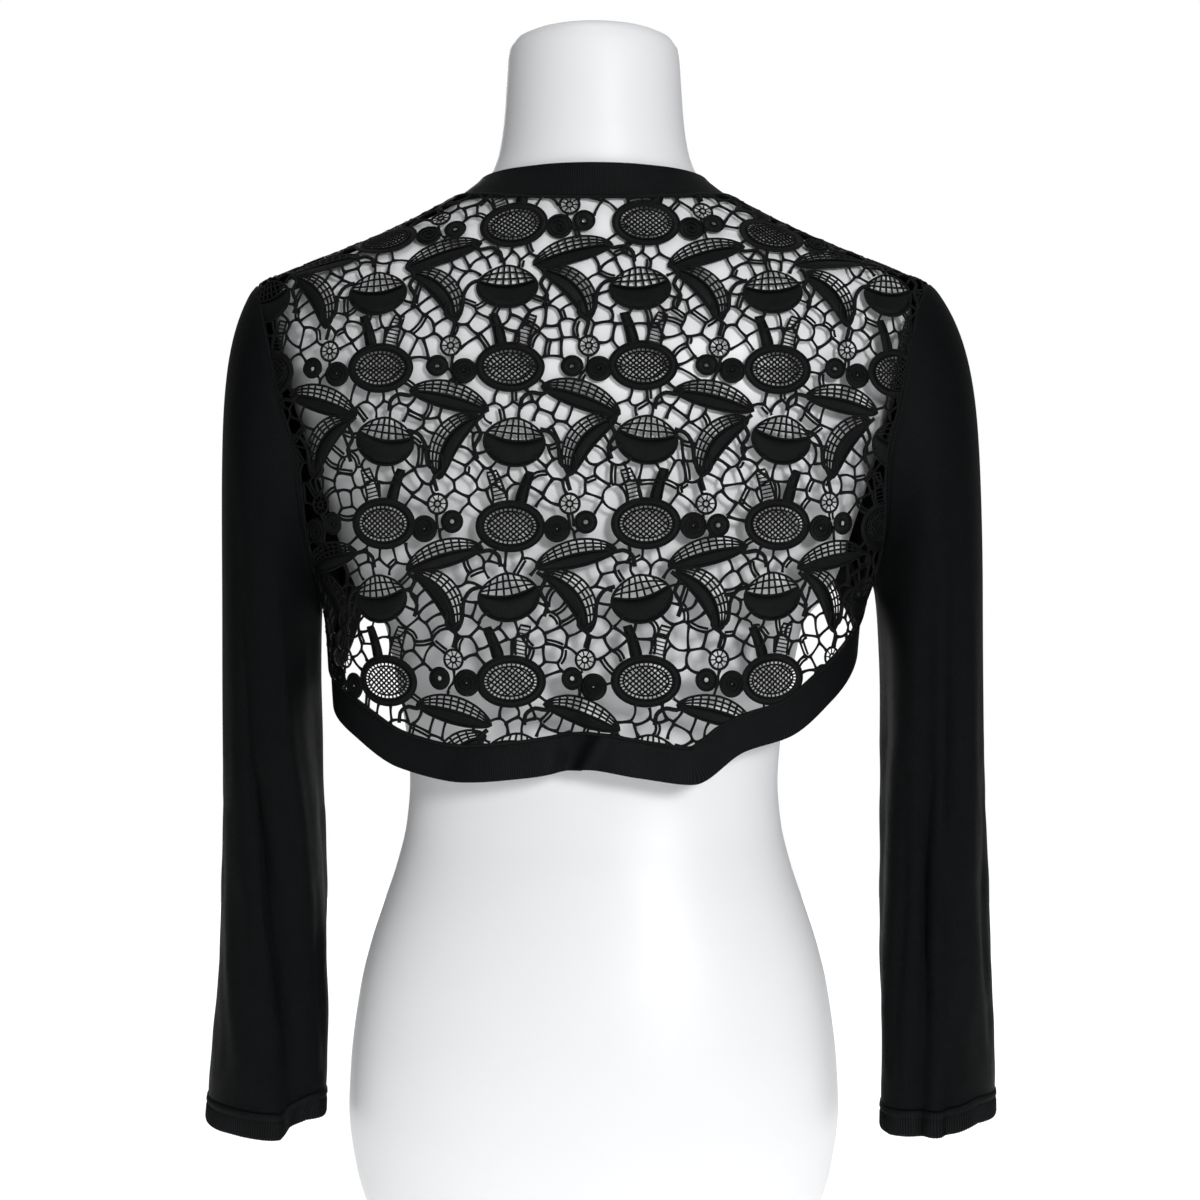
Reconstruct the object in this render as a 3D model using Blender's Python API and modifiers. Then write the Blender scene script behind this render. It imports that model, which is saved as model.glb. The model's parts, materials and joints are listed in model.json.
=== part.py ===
"""Knitted shrug with a lace back, on a limbless dress form.

Metres, +Z up. The front faces -Y and the wearer's left is +X. The form's flat base is centred on the origin.
The functions below work in millimetres."""

import math

import bpy
import numpy as np

COLLECTION, STAND = "knitted_shrug", "stand"
MM = 0.001
# Each finish: its colour and roughness
FINISHES = {
    "form": ((0.82, 0.81, 0.79), 0.35),
    "lace": ((0.012, 0.013, 0.015), 0.8),
    "knit": ((0.012, 0.013, 0.015), 0.9),
    "rib": ((0.012, 0.013, 0.015), 0.9),
}

KNIT_WALL, LACE_WALL, BAND_WALL, CUFF_WALL = 1.6, 1.6, 2.4, 2.2
SEAM = 0.6  # the gap between two pieces along a seam, before their walls lean together
APART = SEAM / 2
SIDE_RADIUS = 175.0  # the side seams' rough distance from the middle, which turns a small gap into an angle
BAND_WIDTH, CUFF_WIDTH = 21.0, 16.0
# The panels' distance from the bands. The fronts' edge is more bent
BACK_GAP, FRONT_GAP = 2 * SEAM, 2.6 * SEAM

# The form's horizontal sections: height, half width, back depth, front depth, roundness
FORM = np.array(
    [
        (0, 112, 62, 60, 2.2),
        (2, 120, 69, 66, 2.2),
        (8, 129, 76, 72, 2.2),
        (20, 136, 82, 77, 2.2),
        (43, 145, 89, 83, 2.2),
        (69, 153, 94, 87, 2.2),
        (108, 158, 98, 90, 2.2),
        (134, 157, 97.5, 91.5, 2.2),
        (186, 150.6, 91, 91.5, 2.2),
        (212, 144.4, 85.5, 90.5, 2.2),
        (238, 136, 79, 88.5, 2.2),
        (265, 127, 72.5, 86, 2.2),
        (291, 121, 67, 84, 2.2),
        (317, 119, 64.5, 83, 2.2),
        (345, 121, 64.5, 84.5, 2.2),
        (375, 126, 66.5, 88, 2.25),
        (400, 131, 69, 92, 2.3),
        (418, 135, 71, 95.5, 2.3),
        (427, 141, 72, 97.5, 2.3),
        (436, 150, 73, 99, 2.3),
        (448, 156.5, 74.5, 101.5, 2.3),
        (485, 169, 79.5, 106, 2.3),
        (520, 181, 84.5, 105, 2.3),
        (560, 194, 88, 96, 2.3),
        (590, 202.5, 86.5, 87, 2.3),
        (612, 206, 81.5, 79, 2.25),
        (626, 205.5, 77, 73.5, 2.2),
        (636, 202, 74, 70, 2.15),
        (643, 193, 71.8, 68, 2.1),
        (656, 160.5, 68, 64, 2.1),
        (669, 128.5, 64, 60.5, 2.1),
        (682, 102.5, 60.5, 58, 2.1),
        (695, 79.5, 57.5, 55, 2.05),
        (706, 68.5, 56, 53, 2),
        (721, 62, 55.5, 52.5, 2),
        (740, 58.7, 54.5, 52, 2),
        (766, 56.7, 53.5, 51.5, 2),
        (788, 55, 52, 50, 2),
        (795, 51, 48, 46, 2),
        (799, 40, 37, 36, 2),
        (800, 20, 18, 18, 2),
    ]
)
# The cloth's horizontal sections, its inner face: height, half width, back depth, front depth, roundness
CLOTH = np.array(
    [
        (290, 158, 97, 97, 2.3),
        (330, 164, 96.5, 99, 2.3),
        (350, 167, 96, 100, 2.3),
        (375, 169, 95, 102, 2.3),
        (400, 170.5, 93, 104, 2.3),
        (421, 172.5, 91.5, 106, 2.3),
        (435, 175.5, 91, 107, 2.3),
        (447, 180, 90.5, 108, 2.3),
        (485, 197, 90, 110, 2.3),
        (525, 208, 90.5, 107.5, 2.3),
        (561, 219, 91, 98.5, 2.3),
        (603, 221.5, 87, 85, 2.25),
        (620, 220.5, 81, 80, 2.2),
        (636, 216, 75.6, 75, 2.15),
        (643, 200.5, 73.8, 73.2, 2.1),
        (656, 168, 70.2, 69, 2.1),
        (669, 136.5, 66.6, 65, 2.1),
        (682, 109.5, 63.4, 62, 2.1),
        (695, 86, 60.8, 58.3, 2.05),
        (706, 73, 59.4, 56.4, 2),
        (721, 66.5, 58.8, 55.8, 2),
    ]
)
# The lower back's soft ripples: sideways place, half width, depth
RIPPLES = ((112, 20, -4.0), (72, 26, 5.0), (14, 9, -6.0), (-14, 16, 3.0), (-60, 24, 5.5), (-112, 22, -5.0))
RIPPLE_TOP, RIPPLE_FULL = 470, 345

# The garment's edge: sideways place and height. Each list runs from the shoulder's ridge to the side.
NECK_HEIGHT = 705.0
FRONT_EDGE = {
    1: ((68, 694), (77, 676), (92, 640), (111, 590), (129, 540), (145, 487), (156, 440), (163, 405)),
    -1: ((68, 694), (77, 676), (92, 640), (111, 590), (130, 540), (147, 492), (160, 455), (168, 430)),
}
SIDE_EDGE = {1: 374.0, -1: 409.0}
STEPS = 700
HEM_EDGE = (
    *((150, 350), (118, 331), (80, 324), (40, 327), (4, 332)),
    *((-28, 327), (-60, 323), (-92, 342), (-120, 350), (-148, 371)),
)

# The armholes: top, underarm, reach back and forward. The shoulder seam's place behind the ridge.
ARM_TOP = 636.0
UNDERARM = {1: 430.0, -1: 444.0}
ARM_BACK, ARM_FRONT = 47.0, 44.0
SHOULDER_SEAM = {1: 3.0, -1: 9.0}

# The sleeves: height, centre out from the middle, centre back, half width, half depth
SLEEVE = {
    1: (
        (430, 209, 3, 30.5, 49.5),
        (400, 208.5, 4, 30, 50),
        (370, 208, 5, 29.5, 49),
        (320, 206.5, 6, 30.5, 46),
        (260, 205.5, 7, 32, 42),
        (200, 206.5, 7, 33.5, 38),
        (150, 209.5, 6, 35, 35),
        (118, 212, 6, 35, 33),
    ),
    -1: (
        (444, 214, 3, 31, 49.5),
        (405, 216, 5, 31, 50),
        (372, 217.5, 5, 31, 49),
        (320, 218, 6, 32, 46),
        (260, 218.5, 7, 33.5, 42),
        (200, 219.5, 7, 35, 38),
        (150, 221, 6, 35.5, 35),
        (118, 221.5, 6, 35.5, 33),
    ),
}
HEAD_DROP = 95.0  # how far below the underarm the sleeve's rings are level
HEAD_TURN = (0, 0.03, 0.08, 0.15, 0.24, 0.35, 0.47, 0.6, 0.74, 0.88, 1)
# Long folds down a sleeve: angle at the top and at the cuff, depth at the top and at the cuff, half width.
# The angle is 0 on the outer side, 90 at the back and 180 on the inner side.
SLEEVE_FOLDS = {
    1: (
        (52, 128, -3.0, -7.0, 17),
        (95, 168, 2.5, 3.5, 20),
        (150, 215, -4.0, -3.0, 18),
        (250, 262, -4.5, -5.0, 18),
        (310, 322, -2.5, -4.0, 20),
    ),
    -1: (
        (103, 116, -3.0, -7.0, 13),
        (78, 90, -2.0, -4.0, 10),
        (128, 160, 3.0, 2.0, 16),
        (165, 190, -4.0, -4.0, 18),
        (262, 250, -4.5, -4.0, 18),
        (318, 300, -3.0, -4.5, 18),
    ),
}
# How far the sleeve's end drops: angle, drop
SLEEVE_DROP = {
    1: ((0, 1), (60, 4), (115, 9), (150, -1), (230, -4), (360, 1)),
    -1: ((0, -2), (55, -2), (95, 7), (150, 8), (210, 0), (360, -2)),
}
DROP_TOP = 300.0  # the height from which the drop grows


def at(table, column, where):
    """One column of a table, smoothly between its rows."""
    table = np.asarray(table, float)
    x, y = table[:, 0], table[:, column]
    if x[0] > x[-1]:
        x, y = x[::-1], y[::-1]
    step, rise = np.diff(x), np.diff(y) / np.diff(x)
    slope = np.zeros(len(x))
    left, right = rise[:-1], rise[1:]
    same = left * right > 0
    share = (step[1:] * 2 + step[:-1], step[1:] + step[:-1] * 2)
    slope[1:-1][same] = (sum(share) * left * right / (share[0] * right + share[1] * left + (~same)))[same]
    slope[0], slope[-1] = rise[0], rise[-1]
    where = np.clip(np.asarray(where, float), x[0], x[-1])
    i = np.clip(np.searchsorted(x, where) - 1, 0, len(step) - 1)
    t = (where - x[i]) / step[i]
    return (
        y[i] * (1 + 2 * t) * (1 - t) ** 2
        + slope[i] * step[i] * t * (1 - t) ** 2
        + y[i + 1] * t * t * (3 - 2 * t)
        + slope[i + 1] * step[i] * t * t * (t - 1)
    )


def ripple(x, z):
    fade = np.clip((RIPPLE_TOP - z) / (RIPPLE_TOP - RIPPLE_FULL), 0, 1)
    return fade * fade * (3 - 2 * fade) * sum(d * np.exp(-(((x - c) / w) ** 2)) for c, w, d in RIPPLES)


def cloth(angle, z):
    """A point of the cloth's inner face. The angle is 0 at the wearer's left and 90 degrees at the back."""
    z = np.asarray(z, float)
    c, s = np.cos(angle), np.sin(angle)
    wide, back, front, n = (at(CLOTH, k, z) for k in (1, 2, 3, 4))
    deep = np.where(s > 0, back, front)
    r = ((np.abs(c) / wide) ** n + (np.abs(s) / deep) ** n) ** (-1 / n)
    x, y = r * c, r * s
    return np.stack([x, y + np.clip(s, 0, 1) ** 2 * ripple(x, z), z], -1)


def across(x, z, back=True):
    """The angle of the cloth's point at this sideways place and height."""
    wide, deep, n = (at(CLOTH, k, z) for k in (1, 2 if back else 3, 4))
    y = deep * np.maximum(0, 1 - (np.abs(x) / wide) ** n) ** (1 / n)
    return np.arctan2(y if back else -y, x)


def out_to(y, z):
    """How far out the cloth reaches at this depth and height."""
    wide, n = at(CLOTH, 1, z), at(CLOTH, 4, z)
    deep = np.where(y > 0, at(CLOTH, 2, z), at(CLOTH, 3, z))
    return wide * np.maximum(0, 1 - (np.abs(y) / deep) ** n) ** (1 / n)


def even(path, count):
    """Points on a path, in even steps along it. The path is rows of angle and height."""
    path = np.asarray(path, float)
    far = np.r_[0, np.cumsum(np.linalg.norm(np.diff(cloth(*path.T), axis=0), axis=1))]
    places = far[-1] * np.linspace(0, 1, count) if np.isscalar(count) else far[-1] * count
    return np.stack([np.interp(places, far, path[:, k]) for k in (0, 1)], -1)


def inward(path, width):
    """The path moved across the cloth, away from the garment's edge."""
    steps = 6
    moved = path.copy()
    here = cloth(*path.T)
    along = np.roll(here, -1, axis=0) - np.roll(here, 1, axis=0)
    along /= np.linalg.norm(along, axis=1, keepdims=True)
    for _ in range(steps):
        a, z = moved.T
        p = cloth(a, z)
        da, dz = (cloth(a + 1e-3, z) - p) / 1e-3, (cloth(a, z + 0.05) - p) / 0.05
        normal = np.cross(da, dz)
        normal /= np.linalg.norm(normal, axis=1, keepdims=True)
        go = np.cross(along, normal)
        go *= width / steps / np.linalg.norm(go, axis=1, keepdims=True)
        aa, az, zz = (da * da).sum(1), (da * dz).sum(1), (dz * dz).sum(1)
        ga, gz = (da * go).sum(1), (dz * go).sum(1)
        size = aa * zz - az * az
        moved = moved + np.stack([(ga * zz - gz * az) / size, (gz * aa - ga * az) / size], -1)
    return moved


def whole_turn(angle):
    """An angle as 0 to a whole turn, so that the right front's angles run on from the back's."""
    return np.where(angle < 0, angle + 2 * math.pi, angle)


def front_stations(side):
    rows = [(across(side * x, z, False), z) for x, z in FRONT_EDGE[side]]
    return rows if side > 0 else [(float(whole_turn(a)), z) for a, z in rows]


def ring_stations():
    """The garment's edge: up the left front, round the neck, down the right front, back along the hem."""
    neck = [(math.radians(a), NECK_HEIGHT) for a in (8, 35, 62, 90, 118, 145, 172)]
    hem = [(across(x, z), z) for x, z in HEM_EDGE[::-1]]
    left, right = [(0.0, SIDE_EDGE[1])], [(math.pi, SIDE_EDGE[-1])]
    return np.array(left + front_stations(1)[::-1] + neck + front_stations(-1) + right + hem, float), len(hem)


def ring():
    """The edge as a finely stepped path of angle and height: STEPS of the band, half as many of the hem."""
    stations, in_hem = ring_stations()
    count = len(stations)
    turns = np.vstack([stations[-3:], stations, stations[:3]])
    far = np.r_[0, np.cumsum(np.linalg.norm(np.diff(cloth(*turns.T), axis=0), axis=1))]
    start, corner, end = far[3], far[3 + count - in_hem - 1], far[3 + count]
    band = np.linspace(start, corner, STEPS, endpoint=False)
    s = np.r_[band, np.linspace(corner, end, STEPS // 2, endpoint=False)]
    table = np.c_[far, turns]
    return np.stack([at(table, 1, s), at(table, 2, s)], -1)


def edges(width):
    """The band's and the hem band's paths at this distance from the garment's edge."""
    path = ring()
    moved = inward(path, width) if width else path
    return moved[: STEPS + 1], np.vstack([moved[STEPS:], moved[:1]])


def material(name, colour, roughness):
    """A Principled BSDF that several nodes may share."""
    made = bpy.data.materials.get(name) or bpy.data.materials.new(name)
    made.use_nodes = True
    shader = made.node_tree.nodes["Principled BSDF"]
    shader.inputs["Base Color"].default_value = (*colour, 1)
    shader.inputs["Roughness"].default_value = roughness
    shader.inputs["Metallic"].default_value = 0
    return made


def add(name, points, faces, finish):
    """A named object of the shrug's collection, from points in millimetres."""
    data = bpy.data.meshes.new(name)
    data.from_pydata((np.reshape(points, (-1, 3)) * MM).tolist(), [], faces)
    data.shade_smooth()
    data.materials.append(material(finish, *FINISHES[finish]))
    obj = bpy.data.objects.new(name, data)
    bpy.data.collections[COLLECTION].objects.link(obj)
    obj.parent = bpy.data.objects[STAND]
    return obj


def wall_of(name, grid, wall, finish, loop=False):
    """A wall of cloth from a grid of points on its inner face, thickened outward."""
    rows, columns = grid.shape[:2]
    faces = []
    for start in range(0, (rows - 1) * columns, columns):
        for j in range(columns if loop else columns - 1):
            k = (j + 1) % columns
            faces.append((start + j, start + k, start + columns + k, start + columns + j))
    obj = add(name, grid, faces, finish)
    shell = obj.modifiers.new("wall", "SOLIDIFY")
    shell.thickness = wall * MM
    shell.offset = 1.0


def strip(name, part, shares, rows):
    """A band: rows across its width, at these shares of its length."""
    outer = edges(0)[part]
    far = np.r_[0, np.cumsum(np.linalg.norm(np.diff(cloth(*outer.T), axis=0), axis=1))]
    index = np.interp(shares * far[-1], far, np.arange(len(far)))
    grid = []
    for w in np.linspace(0, BAND_WIDTH, rows):
        path = edges(w)[part]
        grid.append(cloth(*(np.interp(index, np.arange(len(path)), path[:, k]) for k in (0, 1))))
    wall_of(name, np.stack(grid), BAND_WALL, "rib")


def armhole(turn, side, back, apart=0.0):
    """A point of the armhole: turn is 0 at the shoulder, pi at the underarm. A panel's edge keeps `apart`."""
    middle, reach = (ARM_TOP + UNDERARM[side]) / 2, (ARM_TOP - UNDERARM[side]) / 2
    z = middle + reach * np.cos(turn)
    y = np.where(back, ARM_BACK, -ARM_FRONT) * np.sin(turn) + SHOULDER_SEAM[side] * (1 + np.cos(turn)) / 2
    y = y + np.where(back, apart, -apart)
    return side * out_to(y, z), y, z


def seam_meets(top, side):
    """How far out the shoulder seam meets the neck's band, given the band's points."""
    mine = top[top[:, 0] * side > 0]
    return mine[np.argmin(np.abs(mine[:, 1] - SHOULDER_SEAM[side] - APART)), 0]


def seam_height(x, depth):
    """The height of the cloth's shoulder line this far behind the ridge."""
    heights = np.linspace(ARM_TOP, NECK_HEIGHT + 6, 600)
    return np.interp(-depth, -cloth(across(x, heights), heights)[:, 1], heights)


def back_panel(columns, rows, beside):
    neck, low = edges(BAND_WIDTH + BACK_GAP)
    low_x, neck_points = cloth(*low.T)[:, 0], cloth(*neck.T)
    top = neck_points[(neck_points[:, 2] > 640) & (neck_points[:, 1] > 0)]
    top = top[np.argsort(top[:, 0])]
    # columns: even steps round the neck between the shoulder seams, and closer towards each armhole
    meets = [seam_meets(top, side) for side in (-1, 1)]
    tips = [armhole(0.0, s, True, APART)[0] for s in (-1, 1)]
    arc = top[(top[:, 0] >= meets[0]) & (top[:, 0] <= meets[1])]
    far = np.r_[0, np.cumsum(np.linalg.norm(np.diff(arc, axis=0), axis=1))]
    round_neck = np.interp(np.linspace(0, far[-1], columns - 2 * beside), far, arc[:, 0])
    round_neck[[0, -1]] = meets
    out = np.sin(np.linspace(0, 1, beside + 1)[1:] * 1.15) / math.sin(1.15)
    right, left = (m + (t - m) * out for m, t in zip(meets, tips))
    near_neck = round_neck / np.where(round_neck < 0, -tips[0], tips[1])
    share = np.r_[(right / -tips[0])[::-1], near_neck, left / tips[1]]
    grid = np.empty((rows, columns, 3))
    order = np.argsort(low_x)
    for j, f in enumerate(share):
        side = 1 if f >= 0 else -1
        x_top = f * abs(tips[0 if side < 0 else 1])
        z_top = seam_height(x_top, SHOULDER_SEAM[side] + APART)
        z_top = min(z_top, np.interp(x_top, top[:, 0], top[:, 2], left=1e3, right=1e3))
        corner = low[0 if side < 0 else -1]
        lean = corner[0] if side > 0 else math.pi - corner[0]
        x_low = f * abs(low_x[0 if side < 0 else -1])
        z_low = np.interp(x_low, low_x[order], low[order, 1])
        t = np.linspace(0, 1, 400)
        bend = t * t * 1.3 / (t + 0.3)
        z_side = ARM_TOP + (corner[1] - ARM_TOP) * bend
        middle, reach = (ARM_TOP + UNDERARM[side]) / 2, (ARM_TOP - UNDERARM[side]) / 2
        turn = np.arccos(np.clip((z_side - middle) / reach, -1, 1))
        edge = abs(armhole(turn, side, True, APART)[0])
        down = np.clip((UNDERARM[side] - z_side) / (UNDERARM[side] - corner[1]), 0, 1)
        seam_edge = cloth(lean * down + APART / SIDE_RADIUS, z_side)[:, 0]
        edge = np.where(z_side < UNDERARM[side], seam_edge, edge)
        x, z = f * edge, z_top + (z_low - z_top) * bend
        grid[:, j] = cloth(*even(np.stack([across(x, z), z], -1), rows).T)
    wall_of("back_lace", grid, LACE_WALL, "lace")


def front_panel(name, side, columns, rows):
    """The patch between the shoulder seam, the armhole, the side seam and the band."""
    neck = edges(BAND_WIDTH + FRONT_GAP)[0]
    points = cloth(*neck.T)
    seam = SHOULDER_SEAM[side] - APART
    mine = neck[points[:, 0] * side > 0]
    mine = mine if side > 0 else mine[::-1]
    over = cloth(*mine.T)
    crossing = np.argmax((over[:, 1] > seam) & (over[:, 2] > 600))
    steps = np.linspace(0, 1, rows) ** 1.25
    inner = even(mine[:crossing][::-1], steps)
    if side < 0:
        inner[:, 0] = whole_turn(inner[:, 0])
    turn = np.linspace(0, math.pi, 200)
    x, y, z = armhole(turn, side, False, APART)
    angle = np.arctan2(y, x)
    outer = even(np.stack([angle if side > 0 else whole_turn(angle), z], -1), rows)
    x_top = np.linspace(abs(cloth(*inner[0])[0]), abs(cloth(*outer[0])[0]), 60)
    z_top = [seam_height(v, seam) for v in x_top]
    a_top = np.arctan2(seam, side * x_top)
    top = np.stack([a_top, z_top], -1)
    top[0], top[-1] = inner[0], outer[0]
    top = even(top, columns)
    inner[-1, 0] -= side * 2 * APART / SIDE_RADIUS
    low = even(np.array([inner[-1], outer[-1]]), columns)
    u, v = np.meshgrid(np.linspace(0, 1, columns), np.linspace(0, 1, rows))
    u, v = u[..., None], v[..., None]
    patch = (
        (1 - u) * inner[:, None] + u * outer[:, None] + (1 - v) * top[None] + v * low[None]
        - (1 - u) * (1 - v) * top[0] - u * (1 - v) * top[-1] - (1 - u) * v * low[0] - u * v * low[-1]
    )
    grid = cloth(patch[..., 0], patch[..., 1])
    wall_of(name, grid if side < 0 else grid[:, ::-1], KNIT_WALL, "knit")


def sleeve_point(side, turn, z, turned):
    """A ring of the sleeve. It lies on the armhole at turned 0 and is level at this height at turned 1."""
    table = SLEEVE[side]
    mid_x, mid_y, half_x, half_y = (at(table, k, z) for k in (1, 2, 3, 4))
    below = np.minimum(turn, 2 * math.pi - turn)
    x0, y0, z0 = armhole(below, side, turn <= math.pi)
    x0 = np.abs(x0) + 2.0 + 1.6 * np.sin(below / 2) ** 4
    share = np.clip((UNDERARM[side] - z) / (UNDERARM[side] - table[-1][0]), 0, 1)
    fold = 0
    for first, last, d0, d1, w in SLEEVE_FOLDS[side]:
        away = (np.degrees(turn) - first - (last - first) * share + 180) % 360 - 180
        fold = fold + (d0 + (d1 - d0) * share) * np.exp(-((away / w) ** 2))
    fold = fold * np.clip(turned * 1.5 - 0.5, 0, 1)
    quick = 1 - (1 - turned) ** 6
    x = x0 * (1 - quick) + (mid_x + (half_x + fold) * np.cos(turn)) * quick
    y = y0 * (1 - quick) + (mid_y + (half_y + fold) * np.sin(turn)) * quick
    return np.stack([side * x, y, z0 * (1 - turned) + z * turned], -1)


def sleeve(side, name, cuff, around, lower):
    turn = np.linspace(0, 2 * math.pi, around, endpoint=False)
    drop = np.interp(np.degrees(turn), *np.array(SLEEVE_DROP[side]).T)
    end, level = SLEEVE[side][-1][0], UNDERARM[side] - HEAD_DROP
    rings = [(UNDERARM[side] - HEAD_DROP * t, t) for t in HEAD_TURN]
    rings += [(z, 1.0) for z in np.linspace(level, end, lower + 1)[1:]]
    grid = np.stack([sleeve_point(side, turn, z, t) for z, t in rings])
    fall = np.array([np.clip((DROP_TOP - z) / (DROP_TOP - end), 0, 1) for z, _ in rings])
    grid[..., 2] -= fall[:, None] * drop
    down = grid[-1] - grid[-2]
    down /= np.linalg.norm(down, axis=1, keepdims=True)
    ends = np.stack([grid[-1] + down * (SEAM + CUFF_WIDTH * k / 2) for k in range(3)])
    wall_of(name, grid if side < 0 else grid[:, ::-1], KNIT_WALL, "knit", True)
    wall_of(cuff, ends if side < 0 else ends[:, ::-1], CUFF_WALL, "rib", True)


def form(rings, around):
    heights = np.linspace(FORM[0, 0], FORM[-1, 0], 2000)
    wide = at(FORM, 1, heights)
    far = np.r_[0, np.cumsum(np.hypot(np.diff(wide), np.diff(heights)))]
    heights = np.interp(np.linspace(0, far[-1], rings), far, heights)
    t = np.linspace(0, 2 * math.pi, around, endpoint=False)
    c, s = np.cos(t), np.sin(t)
    points, faces = [], []
    for z in heights:
        a, b, f, n = (at(FORM, k, z) for k in (1, 2, 3, 4))
        x = a * np.sign(c) * np.abs(c) ** (2 / n)
        y = np.where(s > 0, b, f) * np.sign(s) * np.abs(s) ** (2 / n)
        points += [(u, v, z) for u, v in zip(x, y)]
    for i in range(rings - 1):
        for j in range(around):
            k = (j + 1) % around
            faces.append((i * around + j, i * around + k, (i + 1) * around + k, (i + 1) * around + j))
    points += [(0, 0, heights[0]), (0, 0, heights[-1] + 0.4)]
    base, cap = len(points) - 2, len(points) - 1
    for j in range(around):
        k = (j + 1) % around
        faces.append((k, j, base))
        faces.append(((rings - 1) * around + j, (rings - 1) * around + k, cap))
    add("dress_form", points, faces, "form")


def main():
    for obj in list(bpy.data.objects):
        bpy.data.objects.remove(obj)
    parts = bpy.data.collections.new(COLLECTION)
    bpy.context.scene.collection.children.link(parts)
    parts.objects.link(bpy.data.objects.new(STAND, None))
    form(66, 44)
    back_panel(29, 23, 8)
    front_panel("front_left", 1, 7, 20)
    front_panel("front_right", -1, 7, 20)
    gap = 0.0012  # the share of a band's length left open at each side seam
    fine = np.r_[np.linspace(gap, 0.25, 13), np.linspace(0.26, 0.74, 53), np.linspace(0.75, 1 - gap, 13)]
    strip("front_band", 0, fine, 3)
    strip("hem_band", 1, np.linspace(gap, 1 - gap, 37), 3)
    for side, end in ((1, "left"), (-1, "right")):
        sleeve(side, "sleeve_" + end, "cuff_" + end, 26, 9)


main()
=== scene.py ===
"""The looks of a knitted shrug with a lace back, on a limbless dress form.

The functions work in millimetres, in the frame of the CAD: +Z up, the front faces -Y, and the wearer's left
is +X. The lace is laid out on a flat sheet: s runs across the back, to the wearer's left, and t runs up it.
"""

import json
import math

import bpy
import numpy as np
from mathutils.geometry import delaunay_2d_cdt
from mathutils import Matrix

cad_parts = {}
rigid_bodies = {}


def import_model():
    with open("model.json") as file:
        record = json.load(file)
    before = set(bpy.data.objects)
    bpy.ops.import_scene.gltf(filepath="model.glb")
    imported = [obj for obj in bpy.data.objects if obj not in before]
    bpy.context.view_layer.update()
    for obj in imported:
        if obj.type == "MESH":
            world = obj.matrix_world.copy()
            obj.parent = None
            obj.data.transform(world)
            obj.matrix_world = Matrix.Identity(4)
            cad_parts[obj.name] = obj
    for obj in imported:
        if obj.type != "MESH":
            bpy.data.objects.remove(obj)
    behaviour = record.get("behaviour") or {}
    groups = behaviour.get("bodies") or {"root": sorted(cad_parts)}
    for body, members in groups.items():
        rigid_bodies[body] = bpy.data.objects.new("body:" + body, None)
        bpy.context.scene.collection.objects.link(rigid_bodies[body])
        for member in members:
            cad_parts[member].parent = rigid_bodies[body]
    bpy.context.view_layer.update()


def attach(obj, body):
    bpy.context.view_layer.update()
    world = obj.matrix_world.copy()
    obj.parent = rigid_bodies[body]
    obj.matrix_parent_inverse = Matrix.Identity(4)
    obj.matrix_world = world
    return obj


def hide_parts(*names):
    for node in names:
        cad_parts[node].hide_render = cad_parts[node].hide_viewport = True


MM = 0.001

# ---------------------------------------------------------------- the CAD's surfaces, repeated

KNIT_WALL, BAND_WALL, CUFF_WALL = 1.6, 2.4, 2.2
SEAM = 0.6  # the gap between two pieces along a seam, before their walls lean together
APART = SEAM / 2
SIDE_RADIUS = 175.0  # the side seams' rough distance from the middle, which turns a small gap into an angle
BAND_WIDTH, CUFF_WIDTH = 21.0, 16.0
BACK_GAP = 2 * SEAM  # the lace panel's distance from the bands

# The form's horizontal sections: height, half width, back depth, front depth, roundness
FORM = np.array(
    [
        (0, 112, 62, 60, 2.2),
        (2, 120, 69, 66, 2.2),
        (8, 129, 76, 72, 2.2),
        (20, 136, 82, 77, 2.2),
        (43, 145, 89, 83, 2.2),
        (69, 153, 94, 87, 2.2),
        (108, 158, 98, 90, 2.2),
        (134, 157, 97.5, 91.5, 2.2),
        (186, 150.6, 91, 91.5, 2.2),
        (212, 144.4, 85.5, 90.5, 2.2),
        (238, 136, 79, 88.5, 2.2),
        (265, 127, 72.5, 86, 2.2),
        (291, 121, 67, 84, 2.2),
        (317, 119, 64.5, 83, 2.2),
        (345, 121, 64.5, 84.5, 2.2),
        (375, 126, 66.5, 88, 2.25),
        (400, 131, 69, 92, 2.3),
        (418, 135, 71, 95.5, 2.3),
        (427, 141, 72, 97.5, 2.3),
        (436, 150, 73, 99, 2.3),
        (448, 156.5, 74.5, 101.5, 2.3),
        (485, 169, 79.5, 106, 2.3),
        (520, 181, 84.5, 105, 2.3),
        (560, 194, 88, 96, 2.3),
        (590, 202.5, 86.5, 87, 2.3),
        (612, 206, 81.5, 79, 2.25),
        (626, 205.5, 77, 73.5, 2.2),
        (636, 202, 74, 70, 2.15),
        (643, 193, 71.8, 68, 2.1),
        (656, 160.5, 68, 64, 2.1),
        (669, 128.5, 64, 60.5, 2.1),
        (682, 102.5, 60.5, 58, 2.1),
        (695, 79.5, 57.5, 55, 2.05),
        (706, 68.5, 56, 53, 2),
        (721, 62, 55.5, 52.5, 2),
        (740, 58.7, 54.5, 52, 2),
        (766, 56.7, 53.5, 51.5, 2),
        (788, 55, 52, 50, 2),
        (795, 51, 48, 46, 2),
        (799, 40, 37, 36, 2),
        (800, 20, 18, 18, 2),
    ]
)
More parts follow.
